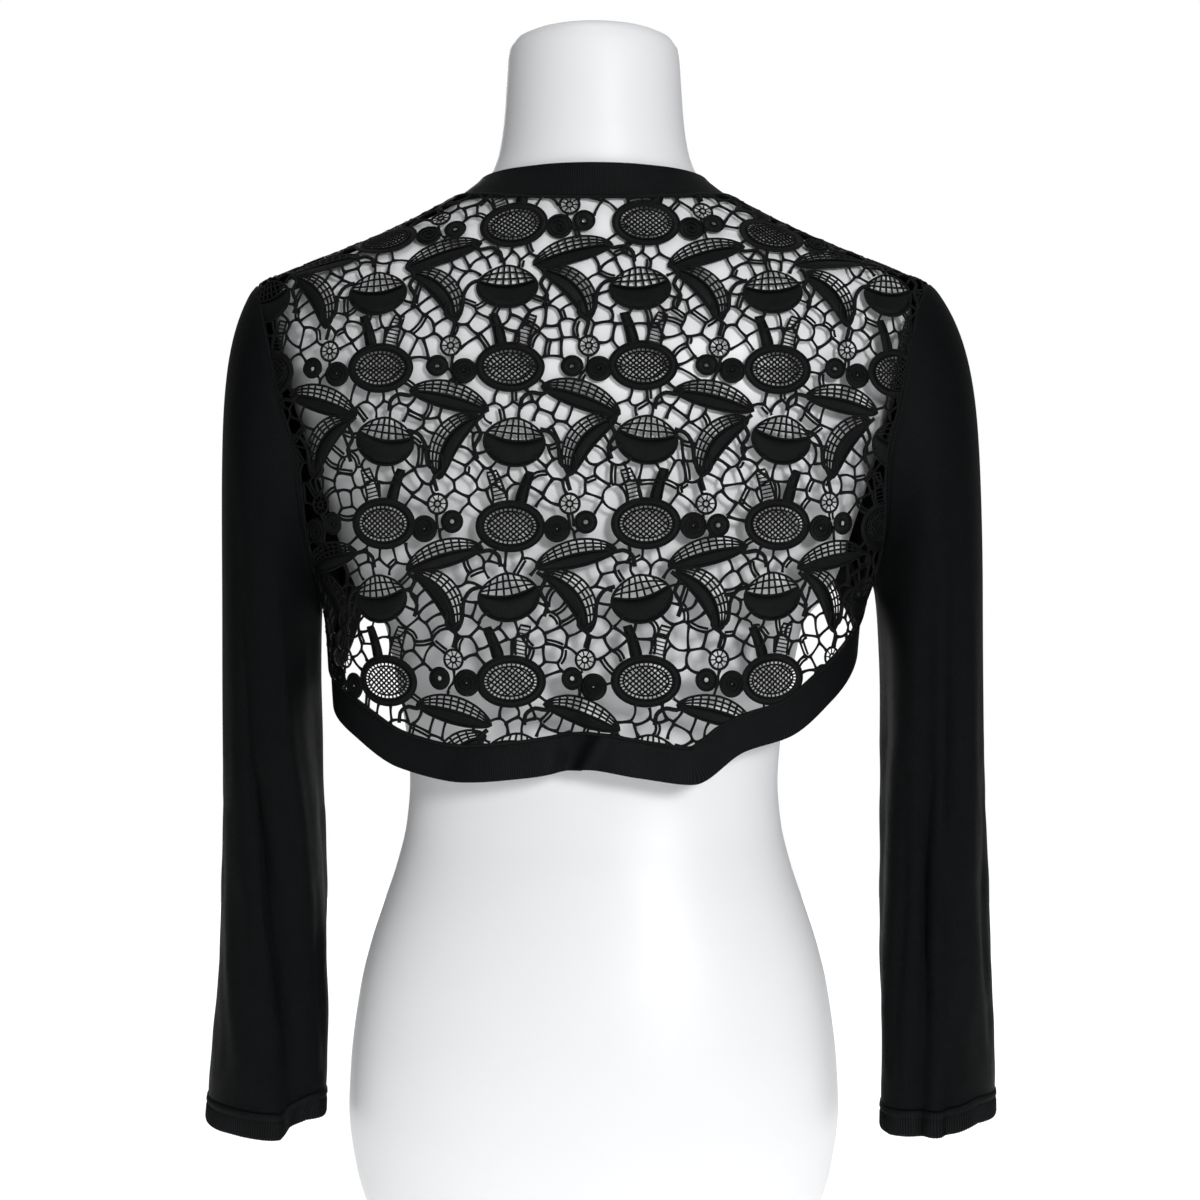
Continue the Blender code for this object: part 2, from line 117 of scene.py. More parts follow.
# The cloth's horizontal sections, its inner face: height, half width, back depth, front depth, roundness
CLOTH = np.array(
    [
        (290, 158, 97, 97, 2.3),
        (330, 164, 96.5, 99, 2.3),
        (350, 167, 96, 100, 2.3),
        (375, 169, 95, 102, 2.3),
        (400, 170.5, 93, 104, 2.3),
        (421, 172.5, 91.5, 106, 2.3),
        (435, 175.5, 91, 107, 2.3),
        (447, 180, 90.5, 108, 2.3),
        (485, 197, 90, 110, 2.3),
        (525, 208, 90.5, 107.5, 2.3),
        (561, 219, 91, 98.5, 2.3),
        (603, 221.5, 87, 85, 2.25),
        (620, 220.5, 81, 80, 2.2),
        (636, 216, 75.6, 75, 2.15),
        (643, 200.5, 73.8, 73.2, 2.1),
        (656, 168, 70.2, 69, 2.1),
        (669, 136.5, 66.6, 65, 2.1),
        (682, 109.5, 63.4, 62, 2.1),
        (695, 86, 60.8, 58.3, 2.05),
        (706, 73, 59.4, 56.4, 2),
        (721, 66.5, 58.8, 55.8, 2),
    ]
)
# The lower back's soft ripples: sideways place, half width, depth
RIPPLES = ((112, 20, -4.0), (72, 26, 5.0), (14, 9, -6.0), (-14, 16, 3.0), (-60, 24, 5.5), (-112, 22, -5.0))
RIPPLE_TOP, RIPPLE_FULL = 470, 345


# The garment's edge: sideways place and height. Each list runs from the shoulder's ridge to the side.
NECK_HEIGHT = 705.0
FRONT_EDGE = {
    1: ((68, 694), (77, 676), (92, 640), (111, 590), (129, 540), (145, 487), (156, 440), (163, 405)),
    -1: ((68, 694), (77, 676), (92, 640), (111, 590), (130, 540), (147, 492), (160, 455), (168, 430)),
}
SIDE_EDGE = {1: 374.0, -1: 409.0}
STEPS = 700
HEM_EDGE = (
    *((150, 350), (118, 331), (80, 324), (40, 327), (4, 332)),
    *((-28, 327), (-60, 323), (-92, 342), (-120, 350), (-148, 371)),
)

# The armholes: top, underarm, reach back and forward. The shoulder seam's place behind the ridge.
ARM_TOP = 636.0
UNDERARM = {1: 430.0, -1: 444.0}
ARM_BACK, ARM_FRONT = 47.0, 44.0
SHOULDER_SEAM = {1: 3.0, -1: 9.0}

# The sleeves: height, centre out from the middle, centre back, half width, half depth
SLEEVE = {
    1: (
        (430, 209, 3, 30.5, 49.5),
        (400, 208.5, 4, 30, 50),
        (370, 208, 5, 29.5, 49),
        (320, 206.5, 6, 30.5, 46),
        (260, 205.5, 7, 32, 42),
        (200, 206.5, 7, 33.5, 38),
        (150, 209.5, 6, 35, 35),
        (118, 212, 6, 35, 33),
    ),
    -1: (
        (444, 214, 3, 31, 49.5),
        (405, 216, 5, 31, 50),
        (372, 217.5, 5, 31, 49),
        (320, 218, 6, 32, 46),
        (260, 218.5, 7, 33.5, 42),
        (200, 219.5, 7, 35, 38),
        (150, 221, 6, 35.5, 35),
        (118, 221.5, 6, 35.5, 33),
    ),
}
HEAD_DROP = 95.0  # how far below the underarm the sleeve's rings are level
HEAD_TURN = (0, 0.03, 0.08, 0.15, 0.24, 0.35, 0.47, 0.6, 0.74, 0.88, 1)
# Long folds down a sleeve: angle at the top and at the cuff, depth at the top and at the cuff, half width.
# The angle is 0 on the outer side, 90 at the back and 180 on the inner side.
SLEEVE_FOLDS = {
    1: (
        (52, 128, -3.0, -7.0, 17),
        (95, 168, 2.5, 3.5, 20),
        (150, 215, -4.0, -3.0, 18),
        (250, 262, -4.5, -5.0, 18),
        (310, 322, -2.5, -4.0, 20),
    ),
    -1: (
        (103, 116, -3.0, -7.0, 13),
        (78, 90, -2.0, -4.0, 10),
        (128, 160, 3.0, 2.0, 16),
        (165, 190, -4.0, -4.0, 18),
        (262, 250, -4.5, -4.0, 18),
        (318, 300, -3.0, -4.5, 18),
    ),
}
# How far the sleeve's end drops: angle, drop
SLEEVE_DROP = {
    1: ((0, 1), (60, 4), (115, 9), (150, -1), (230, -4), (360, 1)),
    -1: ((0, -2), (55, -2), (95, 7), (150, 8), (210, 0), (360, -2)),
}
DROP_TOP = 300.0  # the height from which the drop grows

# ---------------------------------------------------------------- looks

# Black yarns and thread, and the white shell: two colours each
# The plain knit's two: random mottle, and in part a painted highlight on the wales' tops with painted shade
# between them
KNIT_BLACK_MOTTLE_AND_PAINTED_SHADE = ((0.0009, 0.0012, 0.0014), (0.0028, 0.0034, 0.0038))
# The rib's two: first a painted highlight on the tops of its ribs, then painted shade in its grooves
RIB_BLACK_PAINTED_LIGHT_AND_SHADE = ((0.0102, 0.0114, 0.0122), (0.0003, 0.0004, 0.0005))
LACE_BLACK = ((0.0018, 0.0021, 0.0024), (0.0042, 0.0047, 0.0051))
FORM_WHITE = ((0.79, 0.795, 0.81), (0.83, 0.835, 0.845))
# Roughness, specular level and sheen
KNIT_FINISH, THREAD_FINISH = (0.56, 0.06, 0.006), (0.5, 0.11, 0.0)
WRAP = 0.8  # the lace thread's twist
RIB_PITCH, RIB_DEPTH = 1.4, 0.62
LINKED = 4.2  # the linking seam's distance from a band's inner edge
# Marks along a seam or an edge: height, half width
ROLLED_EDGE, LINK_GROOVE, LINK_RIDGE, ARM_GROOVE = (-0.7, 0.9), (-0.75, 0.7), (0.35, 1.1), (-0.6, 1.6)
# Knits: wale, course, bump depth, colours, how far the colour follows the wales as painted highlight on their
# tops and painted shade between them
KNITS = {
    "plain_knit": (0.9, 1.1, 0.0002, KNIT_BLACK_MOTTLE_AND_PAINTED_SHADE, 0.25),
    "rib_knit": (RIB_PITCH, 1.0, 0.00012, RIB_BLACK_PAINTED_LIGHT_AND_SHADE, 0.8),
}
# Places across a band, from its outer edge, and across a cuff, from the sleeve
BAND_ROWS = np.array([0.0, 0.7, 1.8, 4.5, 8.5, 12.5, 15.6, 16.4, 16.9, 17.6, 18.9, 20.6, 22.0])
BAND_END = 0.0012  # the share of a band's length left out at each end
EASE, EASE_FROM = 24, 9.0  # columns each way, and the width from which a band's rows are eased
FRONT_LAP = 0.2  # the fronts' edge past the band's width, so that it lies under the band
CUFF_ROWS = (-0.7, 1.3, 2.6, 3.6, 4.2, 4.8, 6.5, 10.0, 13.5, 15.2, 16.0)
CUFF_RIBS = 152
# Soft slanted folds across a band: place along x, height, half width, depth
FOLD_LEAN, FOLD_TALL = 0.55, 26
BAND_FOLDS = {
    "hem_band": ((6.0, 332, 4.2, -2.6), (15.5, 332, 5.4, 2.6), (-70, 328, 9, 1.0), (92, 328, 10, 0.9)),
    "front_band": ((34, 716, 9, 0.5), (-40, 716, 11, 0.4)),
}
SLEEVE_AROUND, HEAD_RINGS, ARM_RINGS = 132, 41, 110
TUCK = 3.0  # how far a sleeve's head is tucked in at the armhole
MM_A_DEGREE = 0.65  # round a sleeve
# A sleeve's small uneven swell, how far a ring has turned when its creases start, and where they end
SWELL, CREASED_FROM, SMOOTH_END = 0.45, 0.4, 14
FRONT_COLUMNS, FRONT_ROWS = 40, 120
FRONT_FOLD = 0.5
FORM_RINGS, FORM_AROUND = 150, 144
# Creases of each sleeve: angle and height at one end and at the other, half width, depth
CREASES = {
    1: (
        (60, 420, 92, 250, 5.0, -2.5),
        (78, 330, 120, 135, 4.0, -2.8),
        (112, 400, 135, 210, 5.5, 2.0),
        (40, 300, 66, 130, 6.0, 2.2),
        (140, 260, 168, 120, 4.5, -2.3),
        (230, 400, 244, 160, 6.0, -2.8),
        (275, 340, 300, 130, 5.0, 2.3),
        (330, 420, 345, 240, 6.0, -2.3),
        (205, 300, 215, 130, 5.0, 1.9),
    ),
    -1: (
        (70, 430, 96, 270, 5.0, -2.5),
        (100, 340, 112, 150, 4.0, -3.1),
        (84, 300, 90, 128, 4.5, 2.5),
        (55, 400, 52, 170, 6.5, 2.0),
        (135, 330, 140, 130, 4.5, -2.6),
        (36, 330, 30, 140, 5.0, -2.2),
        (225, 400, 240, 170, 6.0, -2.8),
        (280, 330, 262, 130, 5.0, 2.3),
        (330, 410, 318, 210, 6.0, -2.2),
    ),
}

# The lace: its flat sheet, its net and its motifs
SHEET_STEP, SHEET_LOW, EQUATOR, SHEET_HIGH = 2.0, 300.0, 575.0, 770.0
SHEET_HALF, SHEET_REACH = 250.0, 214
NECK_PART, SHOULDER_PART = 640, 600  # the garment's edge above these is by the neck and the shoulders
MID = 0.9  # the threads' middle above the cloth's inner face
FLATNESS = 0.85  # a thread's height as a share of its width
MESH, CORD = 8.8, 0.98  # the net's mesh and its cords' radius
CORD_SHAPE = np.array([1.22, 0.92, 0.86, 0.92, 1.22])  # shares of the radius along a cord
BOW, DOUBLED, DOUBLE_GAP = 0.07, 0.16, 2.3  # how bent cords are, the share doubled, and how far apart
OUTSIDE = 0.3  # threads further than this outside the panel are cut off
SEED = 7
PITCH, ROW_START = (81.0, 95.0), 50.0
REPEAT_ROWS, REPEAT_COLUMNS = range(-3, 3), range(-4, 4)
JITTER, LEANING, MOTIF_SIZE = 0.9, 2.5, 1.09
MOTIF_INSIDE = 0.3  # a motif with less of its outline inside the panel is left out
TENDRIL, EDGING = 1.35, 1.05  # radii of the winding stems and of the edging cord
# The pod's ovals, as half width and half height, and its lattice
POD_RIM, POD_INNER, POD_RING = (19.0, 14.0), (15.0, 10.3), (14.9, 10.2)
POD_EYE, POD_KNOTS = (12.6, 8.1), (11.6, 7.2)
LATTICE, LATTICE_SLOPE, LATTICE_REACH = 2.7, 0.85, 13
STEM = ((5.5, 13.0), (6.6, 18.0), (8.4, 24.0), (10.8, 30.0))
# Rough radii of the berries, which the net stops at
BERRIES = {"wheel": 6.4, "spiral": 7.8, "button": 6.5}
# Leaves: length, width, bend, roundness of the ends, the rib's place, lengthwise threads, bars
LEAVES = {
    "boat": (32.0, 26.5, -4.0, 0.5, 0.05, 2, 6),
    "slim": (46.0, 15.0, 3.0, 0.7, -0.02, 2, 10),
    "curl": (41.0, 15.5, 8.0, 0.6, 0.05, 2, 9),
}
# One repeat: kind, place across and up from the pod's middle, turn
LAYOUT = (
    ("pod", 0, 0, 0),
    ("spiral", 29, -2, 0),
    ("wheel", 36, 13, 0),
    ("button", 45, 1, 0),
    ("slim", 39, -21, 15),
    ("boat", -3, -40, 6),
    ("curl", 32, -48, -52),
)
# Thick winding stems between the motifs of one repeat
TENDRILS = (
    ((16, -29), (21, -34), (18, -41), (22, -49), (20, -56)),
    ((57, -14), (62, -17), (68, -16), (74, -20), (75, -26)),
    ((45, -63), (51, -58), (52, -48), (57, -40), (63, -38)),
    ((36, 20), (34, 28), (40, 34), (39, 42)),
)

# ---------------------------------------------------------------- stage and camera

# In metres
CAMERA = (-0.004, 1.245, 0.434)
CAMERA_TAN = 0.36 / 1.15  # half the view's width at one metre
FLOOR = 1.6
STUDIO, STUDIO_SIDE = 0.42, 0.19  # the world's light, and its share at the two sides
# Lamps: name, place, aim, size, watts
LAMPS = (
    ("key", (-0.8, 2.2, 0.95), (0, 0, 0.42), 0.5, 27.0),
    ("top", (0.0, 0.5, 2.6), (0, 0, 0.4), 1.2, 8.0),
    ("front", (0.2, -2.4, 1.2), (0, 0, 0.45), 1.4, 20.0),
)


def at(table, column, where):
    """One column of a table, smoothly between its rows."""
    table = np.asarray(table, float)
    x, y = table[:, 0], table[:, column]
    if x[0] > x[-1]:
        x, y = x[::-1], y[::-1]
    step, rise = np.diff(x), np.diff(y) / np.diff(x)
    slope = np.zeros(len(x))
    left, right = rise[:-1], rise[1:]
    same = left * right > 0
    share = (step[1:] * 2 + step[:-1], step[1:] + step[:-1] * 2)
    slope[1:-1][same] = (sum(share) * left * right / (share[0] * right + share[1] * left + (~same)))[same]
    slope[0], slope[-1] = rise[0], rise[-1]
    where = np.clip(np.asarray(where, float), x[0], x[-1])
    i = np.clip(np.searchsorted(x, where) - 1, 0, len(step) - 1)
    t = (where - x[i]) / step[i]
    return (
        y[i] * (1 + 2 * t) * (1 - t) ** 2
        + slope[i] * step[i] * t * (1 - t) ** 2
        + y[i + 1] * t * t * (3 - 2 * t)
        + slope[i + 1] * step[i] * t * t * (t - 1)
    )


def ripple(x, z):
    fade = np.clip((RIPPLE_TOP - z) / (RIPPLE_TOP - RIPPLE_FULL), 0, 1)
    return fade * fade * (3 - 2 * fade) * sum(d * np.exp(-(((x - c) / w) ** 2)) for c, w, d in RIPPLES)


def cloth(angle, z):
    """A point of the cloth's inner face. The angle is 0 at the wearer's left and 90 degrees at the back."""
    z = np.asarray(z, float)
    c, s = np.cos(angle), np.sin(angle)
    wide, back, front, n = (at(CLOTH, k, z) for k in (1, 2, 3, 4))
    deep = np.where(s > 0, back, front)
    r = ((np.abs(c) / wide) ** n + (np.abs(s) / deep) ** n) ** (-1 / n)
    x, y = r * c, r * s
    return np.stack([x, y + np.clip(s, 0, 1) ** 2 * ripple(x, z), z], -1)


def across(x, z, back=True):
    """The angle of the cloth's point at this sideways place and height."""
    wide, deep, n = (at(CLOTH, k, z) for k in (1, 2 if back else 3, 4))
    y = deep * np.maximum(0, 1 - (np.abs(x) / wide) ** n) ** (1 / n)
    return np.arctan2(y if back else -y, x)


def out_to(y, z):
    """How far out the cloth reaches at this depth and height."""
    wide, n = at(CLOTH, 1, z), at(CLOTH, 4, z)
    deep = np.where(y > 0, at(CLOTH, 2, z), at(CLOTH, 3, z))
    return wide * np.maximum(0, 1 - (np.abs(y) / deep) ** n) ** (1 / n)


def run(points):
    """The length of a path up to each of its points."""
    return np.r_[0, np.cumsum(np.linalg.norm(np.diff(points, axis=0), axis=1))]


def even(path, count):
    """Points on a path, in even steps along it. The path is rows of angle and height."""
    path = np.asarray(path, float)
    far = run(cloth(*path.T))
    places = far[-1] * np.linspace(0, 1, count) if np.isscalar(count) else far[-1] * count
    return np.stack([np.interp(places, far, path[:, k]) for k in (0, 1)], -1)


def inward(path, width):
    """The path moved across the cloth, away from the garment's edge."""
    steps, small_turn, small_rise = 6, 1e-3, 0.05
    moved = path.copy()
    here = cloth(*path.T)
    along = np.roll(here, -1, axis=0) - np.roll(here, 1, axis=0)
    along /= np.linalg.norm(along, axis=1, keepdims=True)
    for _ in range(steps):
        a, z = moved.T
        p = cloth(a, z)
        da, dz = (cloth(a + small_turn, z) - p) / small_turn, (cloth(a, z + small_rise) - p) / small_rise
        normal = np.cross(da, dz)
        normal /= np.linalg.norm(normal, axis=1, keepdims=True)
        go = np.cross(along, normal)
        go *= width / steps / np.linalg.norm(go, axis=1, keepdims=True)
        aa, az, zz = (da * da).sum(1), (da * dz).sum(1), (dz * dz).sum(1)
        ga, gz = (da * go).sum(1), (dz * go).sum(1)
        size = aa * zz - az * az
        moved = moved + np.stack([(ga * zz - gz * az) / size, (gz * aa - ga * az) / size], -1)
    return moved


def whole_turn(angle):
    """An angle as 0 to a whole turn, so that the right front's angles run on from the back's."""
    return np.where(angle < 0, angle + 2 * math.pi, angle)


def front_stations(side):
    rows = [(across(side * x, z, False), z) for x, z in FRONT_EDGE[side]]
    return rows if side > 0 else [(float(whole_turn(a)), z) for a, z in rows]


def ring_stations():
    """The garment's edge, all round: up the left front, round the neck, down the right, along the hem."""
    neck = [(math.radians(a), NECK_HEIGHT) for a in (8, 35, 62, 90, 118, 145, 172)]
    hem = [(across(x, z), z) for x, z in HEM_EDGE[::-1]]
    left, right = [(0.0, SIDE_EDGE[1])], [(math.pi, SIDE_EDGE[-1])]
    return np.array(left + front_stations(1)[::-1] + neck + front_stations(-1) + right + hem, float), len(hem)


def ring():
    """The edge as a path of angle and height: STEPS along the band, then half as many along the hem."""
    stations, in_hem = ring_stations()
    count = len(stations)
    turns = np.vstack([stations[-3:], stations, stations[:3]])
    far = run(cloth(*turns.T))
    start, corner, end = far[3], far[3 + count - in_hem - 1], far[3 + count]
    band = np.linspace(start, corner, STEPS, endpoint=False)
    s = np.r_[band, np.linspace(corner, end, STEPS // 2, endpoint=False)]
    table = np.c_[far, turns]
    return np.stack([at(table, 1, s), at(table, 2, s)], -1)


def edges(width):
    """The band's and the hem band's paths at this distance from the garment's edge."""
    path = ring()
    moved = inward(path, width) if width else path
    return moved[: STEPS + 1], np.vstack([moved[STEPS:], moved[:1]])


def armhole(turn, side, back, apart=0.0):
    """A point of the armhole: turn is 0 at the shoulder and pi at the underarm. apart is a panel's gap."""
    middle, reach = (ARM_TOP + UNDERARM[side]) / 2, (ARM_TOP - UNDERARM[side]) / 2
    z = middle + reach * np.cos(turn)
    y = np.where(back, ARM_BACK, -ARM_FRONT) * np.sin(turn) + SHOULDER_SEAM[side] * (1 + np.cos(turn)) / 2
    y = y + np.where(back, apart, -apart)
    return side * out_to(y, z), y, z


def seam_height(x, depth):
    """The height of the cloth's shoulder line this far behind the ridge."""
    heights = np.linspace(ARM_TOP, NECK_HEIGHT + 6, 600)
    return np.interp(-depth, -cloth(across(x, heights), heights)[:, 1], heights)


def sleeve_point(side, turn, z, turned):
    """A ring of the sleeve. It lies on the armhole at turned 0 and is level at this height at turned 1."""
    table = SLEEVE[side]
    mid_x, mid_y, half_x, half_y = (at(table, k, z) for k in (1, 2, 3, 4))
    below = np.minimum(turn, 2 * math.pi - turn)
    x0, y0, z0 = armhole(below, side, turn <= math.pi)
    x0 = np.abs(x0) + 2.0 + 1.6 * np.sin(below / 2) ** 4
    share = np.clip((UNDERARM[side] - z) / (UNDERARM[side] - table[-1][0]), 0, 1)
    fold = 0
    for first, last, d0, d1, w in SLEEVE_FOLDS[side]:
        away = (np.degrees(turn) - first - (last - first) * share + 180) % 360 - 180
        fold = fold + (d0 + (d1 - d0) * share) * np.exp(-((away / w) ** 2))
    fold = fold * np.clip(turned * 1.5 - 0.5, 0, 1)
    quick = 1 - (1 - turned) ** 6
    x = x0 * (1 - quick) + (mid_x + (half_x + fold) * np.cos(turn)) * quick
    y = y0 * (1 - quick) + (mid_y + (half_y + fold) * np.sin(turn)) * quick
    return np.stack([side * x, y, z0 * (1 - turned) + z * turned], -1)


# ---------------------------------------------------------------- meshes


def circle(count):
    """Even angles once round."""
    return np.linspace(0, 2 * math.pi, count, endpoint=False)


def unit(v):
    return v / np.maximum(np.linalg.norm(v, axis=-1, keepdims=True), 1e-9)


def grid_normals(grid, loop):
    """The unit normals of a grid of points: rows first, then columns."""
    if loop:
        along = np.roll(grid, -1, axis=1) - np.roll(grid, 1, axis=1)
    else:
        along = np.gradient(grid, axis=1)
    return unit(np.cross(along, np.gradient(grid, axis=0)))


def grid_faces(rows, columns, loop):
    i, j = np.meshgrid(np.arange(rows - 1), np.arange(columns if loop else columns - 1), indexing="ij")
    k = (j + 1) % columns
    a, b = i * columns, (i + 1) * columns
    return np.stack([a + j, a + k, b + k, b + j], -1).reshape(-1, 4)


def make(name, points, faces, coats, finish, uv=None):
    """A smooth mesh piece from points in millimetres. coats are its CAD nodes, and uv has a pair a corner."""
    data = bpy.data.meshes.new(name)
    data.from_pydata((np.reshape(points, (-1, 3)) * MM).tolist(), [], faces)
    data.shade_smooth()
    if uv is not None:
        data.uv_layers.new(name="thread").data.foreach_set("uv", np.asarray(uv, np.float32).ravel())
    data.materials.append(finish)
    piece = bpy.data.objects.new(name, data)
    bpy.context.scene.collection.objects.link(piece)
    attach(piece, "root")
    if coats:
        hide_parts(*coats)
    return piece


def shell(name, inner, outer, loop, coats, finish, uv):
    """A closed wall between two grids of points. uv has each point's lengths along and down the cloth."""
    rows, columns = inner.shape[:2]
    count = rows * columns
    faces = grid_faces(rows, columns, loop)
    rims = []
    for row, turned in ((0, False), (rows - 1, True)):
        j = np.arange(columns if loop else columns - 1)
        a, b = row * columns + j, row * columns + (j + 1) % columns
        rim = [a + count, b + count, b, a] if turned else [a, b, b + count, a + count]
        rims.append(np.stack(rim, -1))
    if not loop:
        i = np.arange(rows - 1) * columns
        rims.append(np.stack([i + columns, i, i + count, i + columns + count], -1))
        last = i + columns - 1
        rims.append(np.stack([last, last + columns, last + columns + count, last + count], -1))
    faces = np.vstack([faces[:, ::-1], faces + count, *rims])
    place = np.vstack([uv.reshape(-1, 2)] * 2)
    corner = place[faces % count].copy()
    wide = np.ptp(corner[..., 0], axis=1) > 0.5 * np.ptp(uv[..., 0])
    if loop and wide.any():
        girth, step = uv[..., 0].max(), uv[0, 1, 0]
        first = wide[:, None] & (corner[..., 0] < 0.5 * girth)
        corner[..., 0] += first * (girth + step)
    points = np.concatenate([inner.reshape(-1, 3), outer.reshape(-1, 3)])
    return make(name, points, faces.tolist(), coats, finish, corner)


# ---------------------------------------------------------------- the lace's flat sheet


def lay_out():
    """The sheet's table: a point of the cloth for each step of s and t. Above the equator, x is kept."""
    s = np.arange(-SHEET_HALF, SHEET_HALF + 0.1, SHEET_STEP)
    low = np.arange(SHEET_LOW, EQUATOR, SHEET_STEP)
    turn = np.radians(np.linspace(-20, 200, 441))
    rows = []
    for z in [*low, EQUATOR]:
        ring_points = cloth(turn, np.full(len(turn), z))
        far = run(ring_points)
        far = np.interp(math.pi / 2, turn, far) - far
        rows.append(cloth(np.interp(s, far[::-1], turn[::-1]), np.full(len(s), z)))
    up = np.arange(SHEET_STEP, SHEET_HIGH - EQUATOR, SHEET_STEP)
    heights = np.linspace(EQUATOR, CLOTH[-1, 0], 600)
    wide = at(CLOTH, 1, heights)
    top = np.empty((len(up), len(s), 3))
    for j, x in enumerate(np.clip(rows[-1][:, 0], -SHEET_REACH, SHEET_REACH)):
        peak = np.interp(-abs(x), -wide, heights)
        z = EQUATOR + (peak - EQUATOR) * np.sin(np.linspace(0, math.pi / 2, 90))
        y = cloth(across(x, z), z)[:, 1]
        far = np.r_[0, np.cumsum(np.hypot(np.diff(y), np.diff(z)))]
        beyond = np.maximum(0, up - far[-1])
        top[:, j] = np.stack([np.full(len(up), x), np.interp(up, far, y) - beyond, np.interp(up, far, z)], -1)
    table = np.concatenate([np.stack(rows), top])
    t = np.r_[low, EQUATOR, EQUATOR + up]
    return {"s": s, "t": t, "p": table, "n": -grid_normals(table, False)}


def pick(sheet, key, s, t):
    """The sheet's point or normal at these places, between its steps."""
    i = np.clip((t - sheet["t"][0]) / SHEET_STEP, 0, len(sheet["t"]) - 1.001)
    j = np.clip((s - sheet["s"][0]) / SHEET_STEP, 0, len(sheet["s"]) - 1.001)
    i0, j0 = i.astype(int), j.astype(int)
    a, b = (i - i0)[..., None], (j - j0)[..., None]
    table = sheet[key]
    low = table[i0, j0] * (1 - b) + table[i0, j0 + 1] * b
    high = table[i0 + 1, j0] * (1 - b) + table[i0 + 1, j0 + 1] * b
    return low * (1 - a) + high * a


def flat_place(sheet, points):
    """The sheet's place of points on the cloth."""
    table = sheet["p"].reshape(-1, 3)
    found = []
    for p in np.reshape(points, (-1, 3)):
        i, j = divmod(int(np.argmin(((table - p) ** 2).sum(1))), len(sheet["s"]))
        i, j = min(max(i, 1), len(sheet["t"]) - 2), min(max(j, 1), len(sheet["s"]) - 2)
        ds = (sheet["p"][i, j + 1] - sheet["p"][i, j - 1]) / (2 * SHEET_STEP)
        dt = (sheet["p"][i + 1, j] - sheet["p"][i - 1, j]) / (2 * SHEET_STEP)
        off = np.linalg.lstsq(np.stack([ds, dt], -1), p - sheet["p"][i, j], rcond=None)[0]
        found.append((sheet["s"][j] + off[0], sheet["t"][i] + off[1]))
    return np.array(found)


def resample(path, step, closed=False):
    """A path in even steps of about this length."""
    path = np.vstack([path, path[:1]]) if closed else np.asarray(path, float)
    far = run(path)
    places = np.linspace(0, far[-1], max(2, int(round(far[-1] / step)) + 1))
    out = np.stack([np.interp(places, far, path[:, k]) for k in range(path.shape[1])], -1)
    return out[:-1] if closed else out


def panel_outline(sheet):
    """The lace panel's edge on the flat sheet, anticlockwise from the hem's right corner."""
    neck, low = edges(BAND_WIDTH + BACK_GAP)
    neck_points = cloth(*neck.T)
    sides = {}
    for side in (1, -1):
        corner = low[-1] if side > 0 else low[0]
        lean = corner[0] if side > 0 else math.pi - corner[0]
        z = np.linspace(corner[1], UNDERARM[side], 20)[:-1]
        down = (UNDERARM[side] - z) / (UNDERARM[side] - corner[1])
        seam = cloth(lean * down + APART / SIDE_RADIUS, z) * (side, 1, 1)
        turn = np.linspace(math.pi, 0, 60)
        hole = np.stack(armhole(turn, side, True, APART), -1)
        tip = abs(hole[-1, 0])
        mine = neck_points[(neck_points[:, 0] * side > 0) & (neck_points[:, 2] > NECK_PART)]
        behind = SHOULDER_SEAM[side] + APART
        meets = abs(mine[np.argmin(np.abs(mine[:, 1] - behind)), 0])
        x = np.linspace(tip, meets, 30)[1:-1]
        z = np.array([seam_height(v, behind) for v in x])
        ridge = np.stack([side * x, np.full(len(x), behind), z], -1)
        sides[side] = np.vstack([seam, hole, ridge])
    top = neck_points[(neck_points[:, 2] > NECK_PART) & (neck_points[:, 1] > SHOULDER_SEAM[1] + APART)]
    top = top[np.argsort(-top[:, 0])][::12]
    hem = cloth(*low.T)[::8]
    around = np.vstack([hem, sides[1], top, sides[-1][::-1]])
    return resample(flat_place(sheet, around), 4.0, True)


def outline_distance(shape, points):
    """How far inside a closed outline each point is, and the nearest place on it. Outside is negative."""
    a, b = shape, np.roll(shape, -1, axis=0)
    flat = points.reshape(-1, 2)
    distance, near = np.empty(len(flat)), np.empty((len(flat), 2))
    for start in range(0, len(flat), 4000):
        p = flat[start : start + 4000, None]
        share = np.clip(((p - a) * (b - a)).sum(-1) / ((b - a) ** 2).sum(-1), 0, 1)
        on = a + share[..., None] * (b - a)
        d2 = ((p - on) ** 2).sum(-1)
        best = d2.argmin(1)
        rows = np.arange(len(best))
        over = (a[:, 1] > p[..., 1]) != (b[:, 1] > p[..., 1])
        rise = np.where(b[:, 1] == a[:, 1], 1e-9, b[:, 1] - a[:, 1])
        crossing = over & (p[..., 0] < (b[:, 0] - a[:, 0]) * (p[..., 1] - a[:, 1]) / rise + a[:, 0])
        inside = crossing.sum(1) % 2 == 1
        distance[start : start + 4000] = np.where(inside, 1, -1) * np.sqrt(d2[rows, best])
        near[start : start + 4000] = on[rows, best]
    return distance.reshape(points.shape[:-1]), near.reshape(points.shape)


# ---------------------------------------------------------------- threads and solid patches of the lace


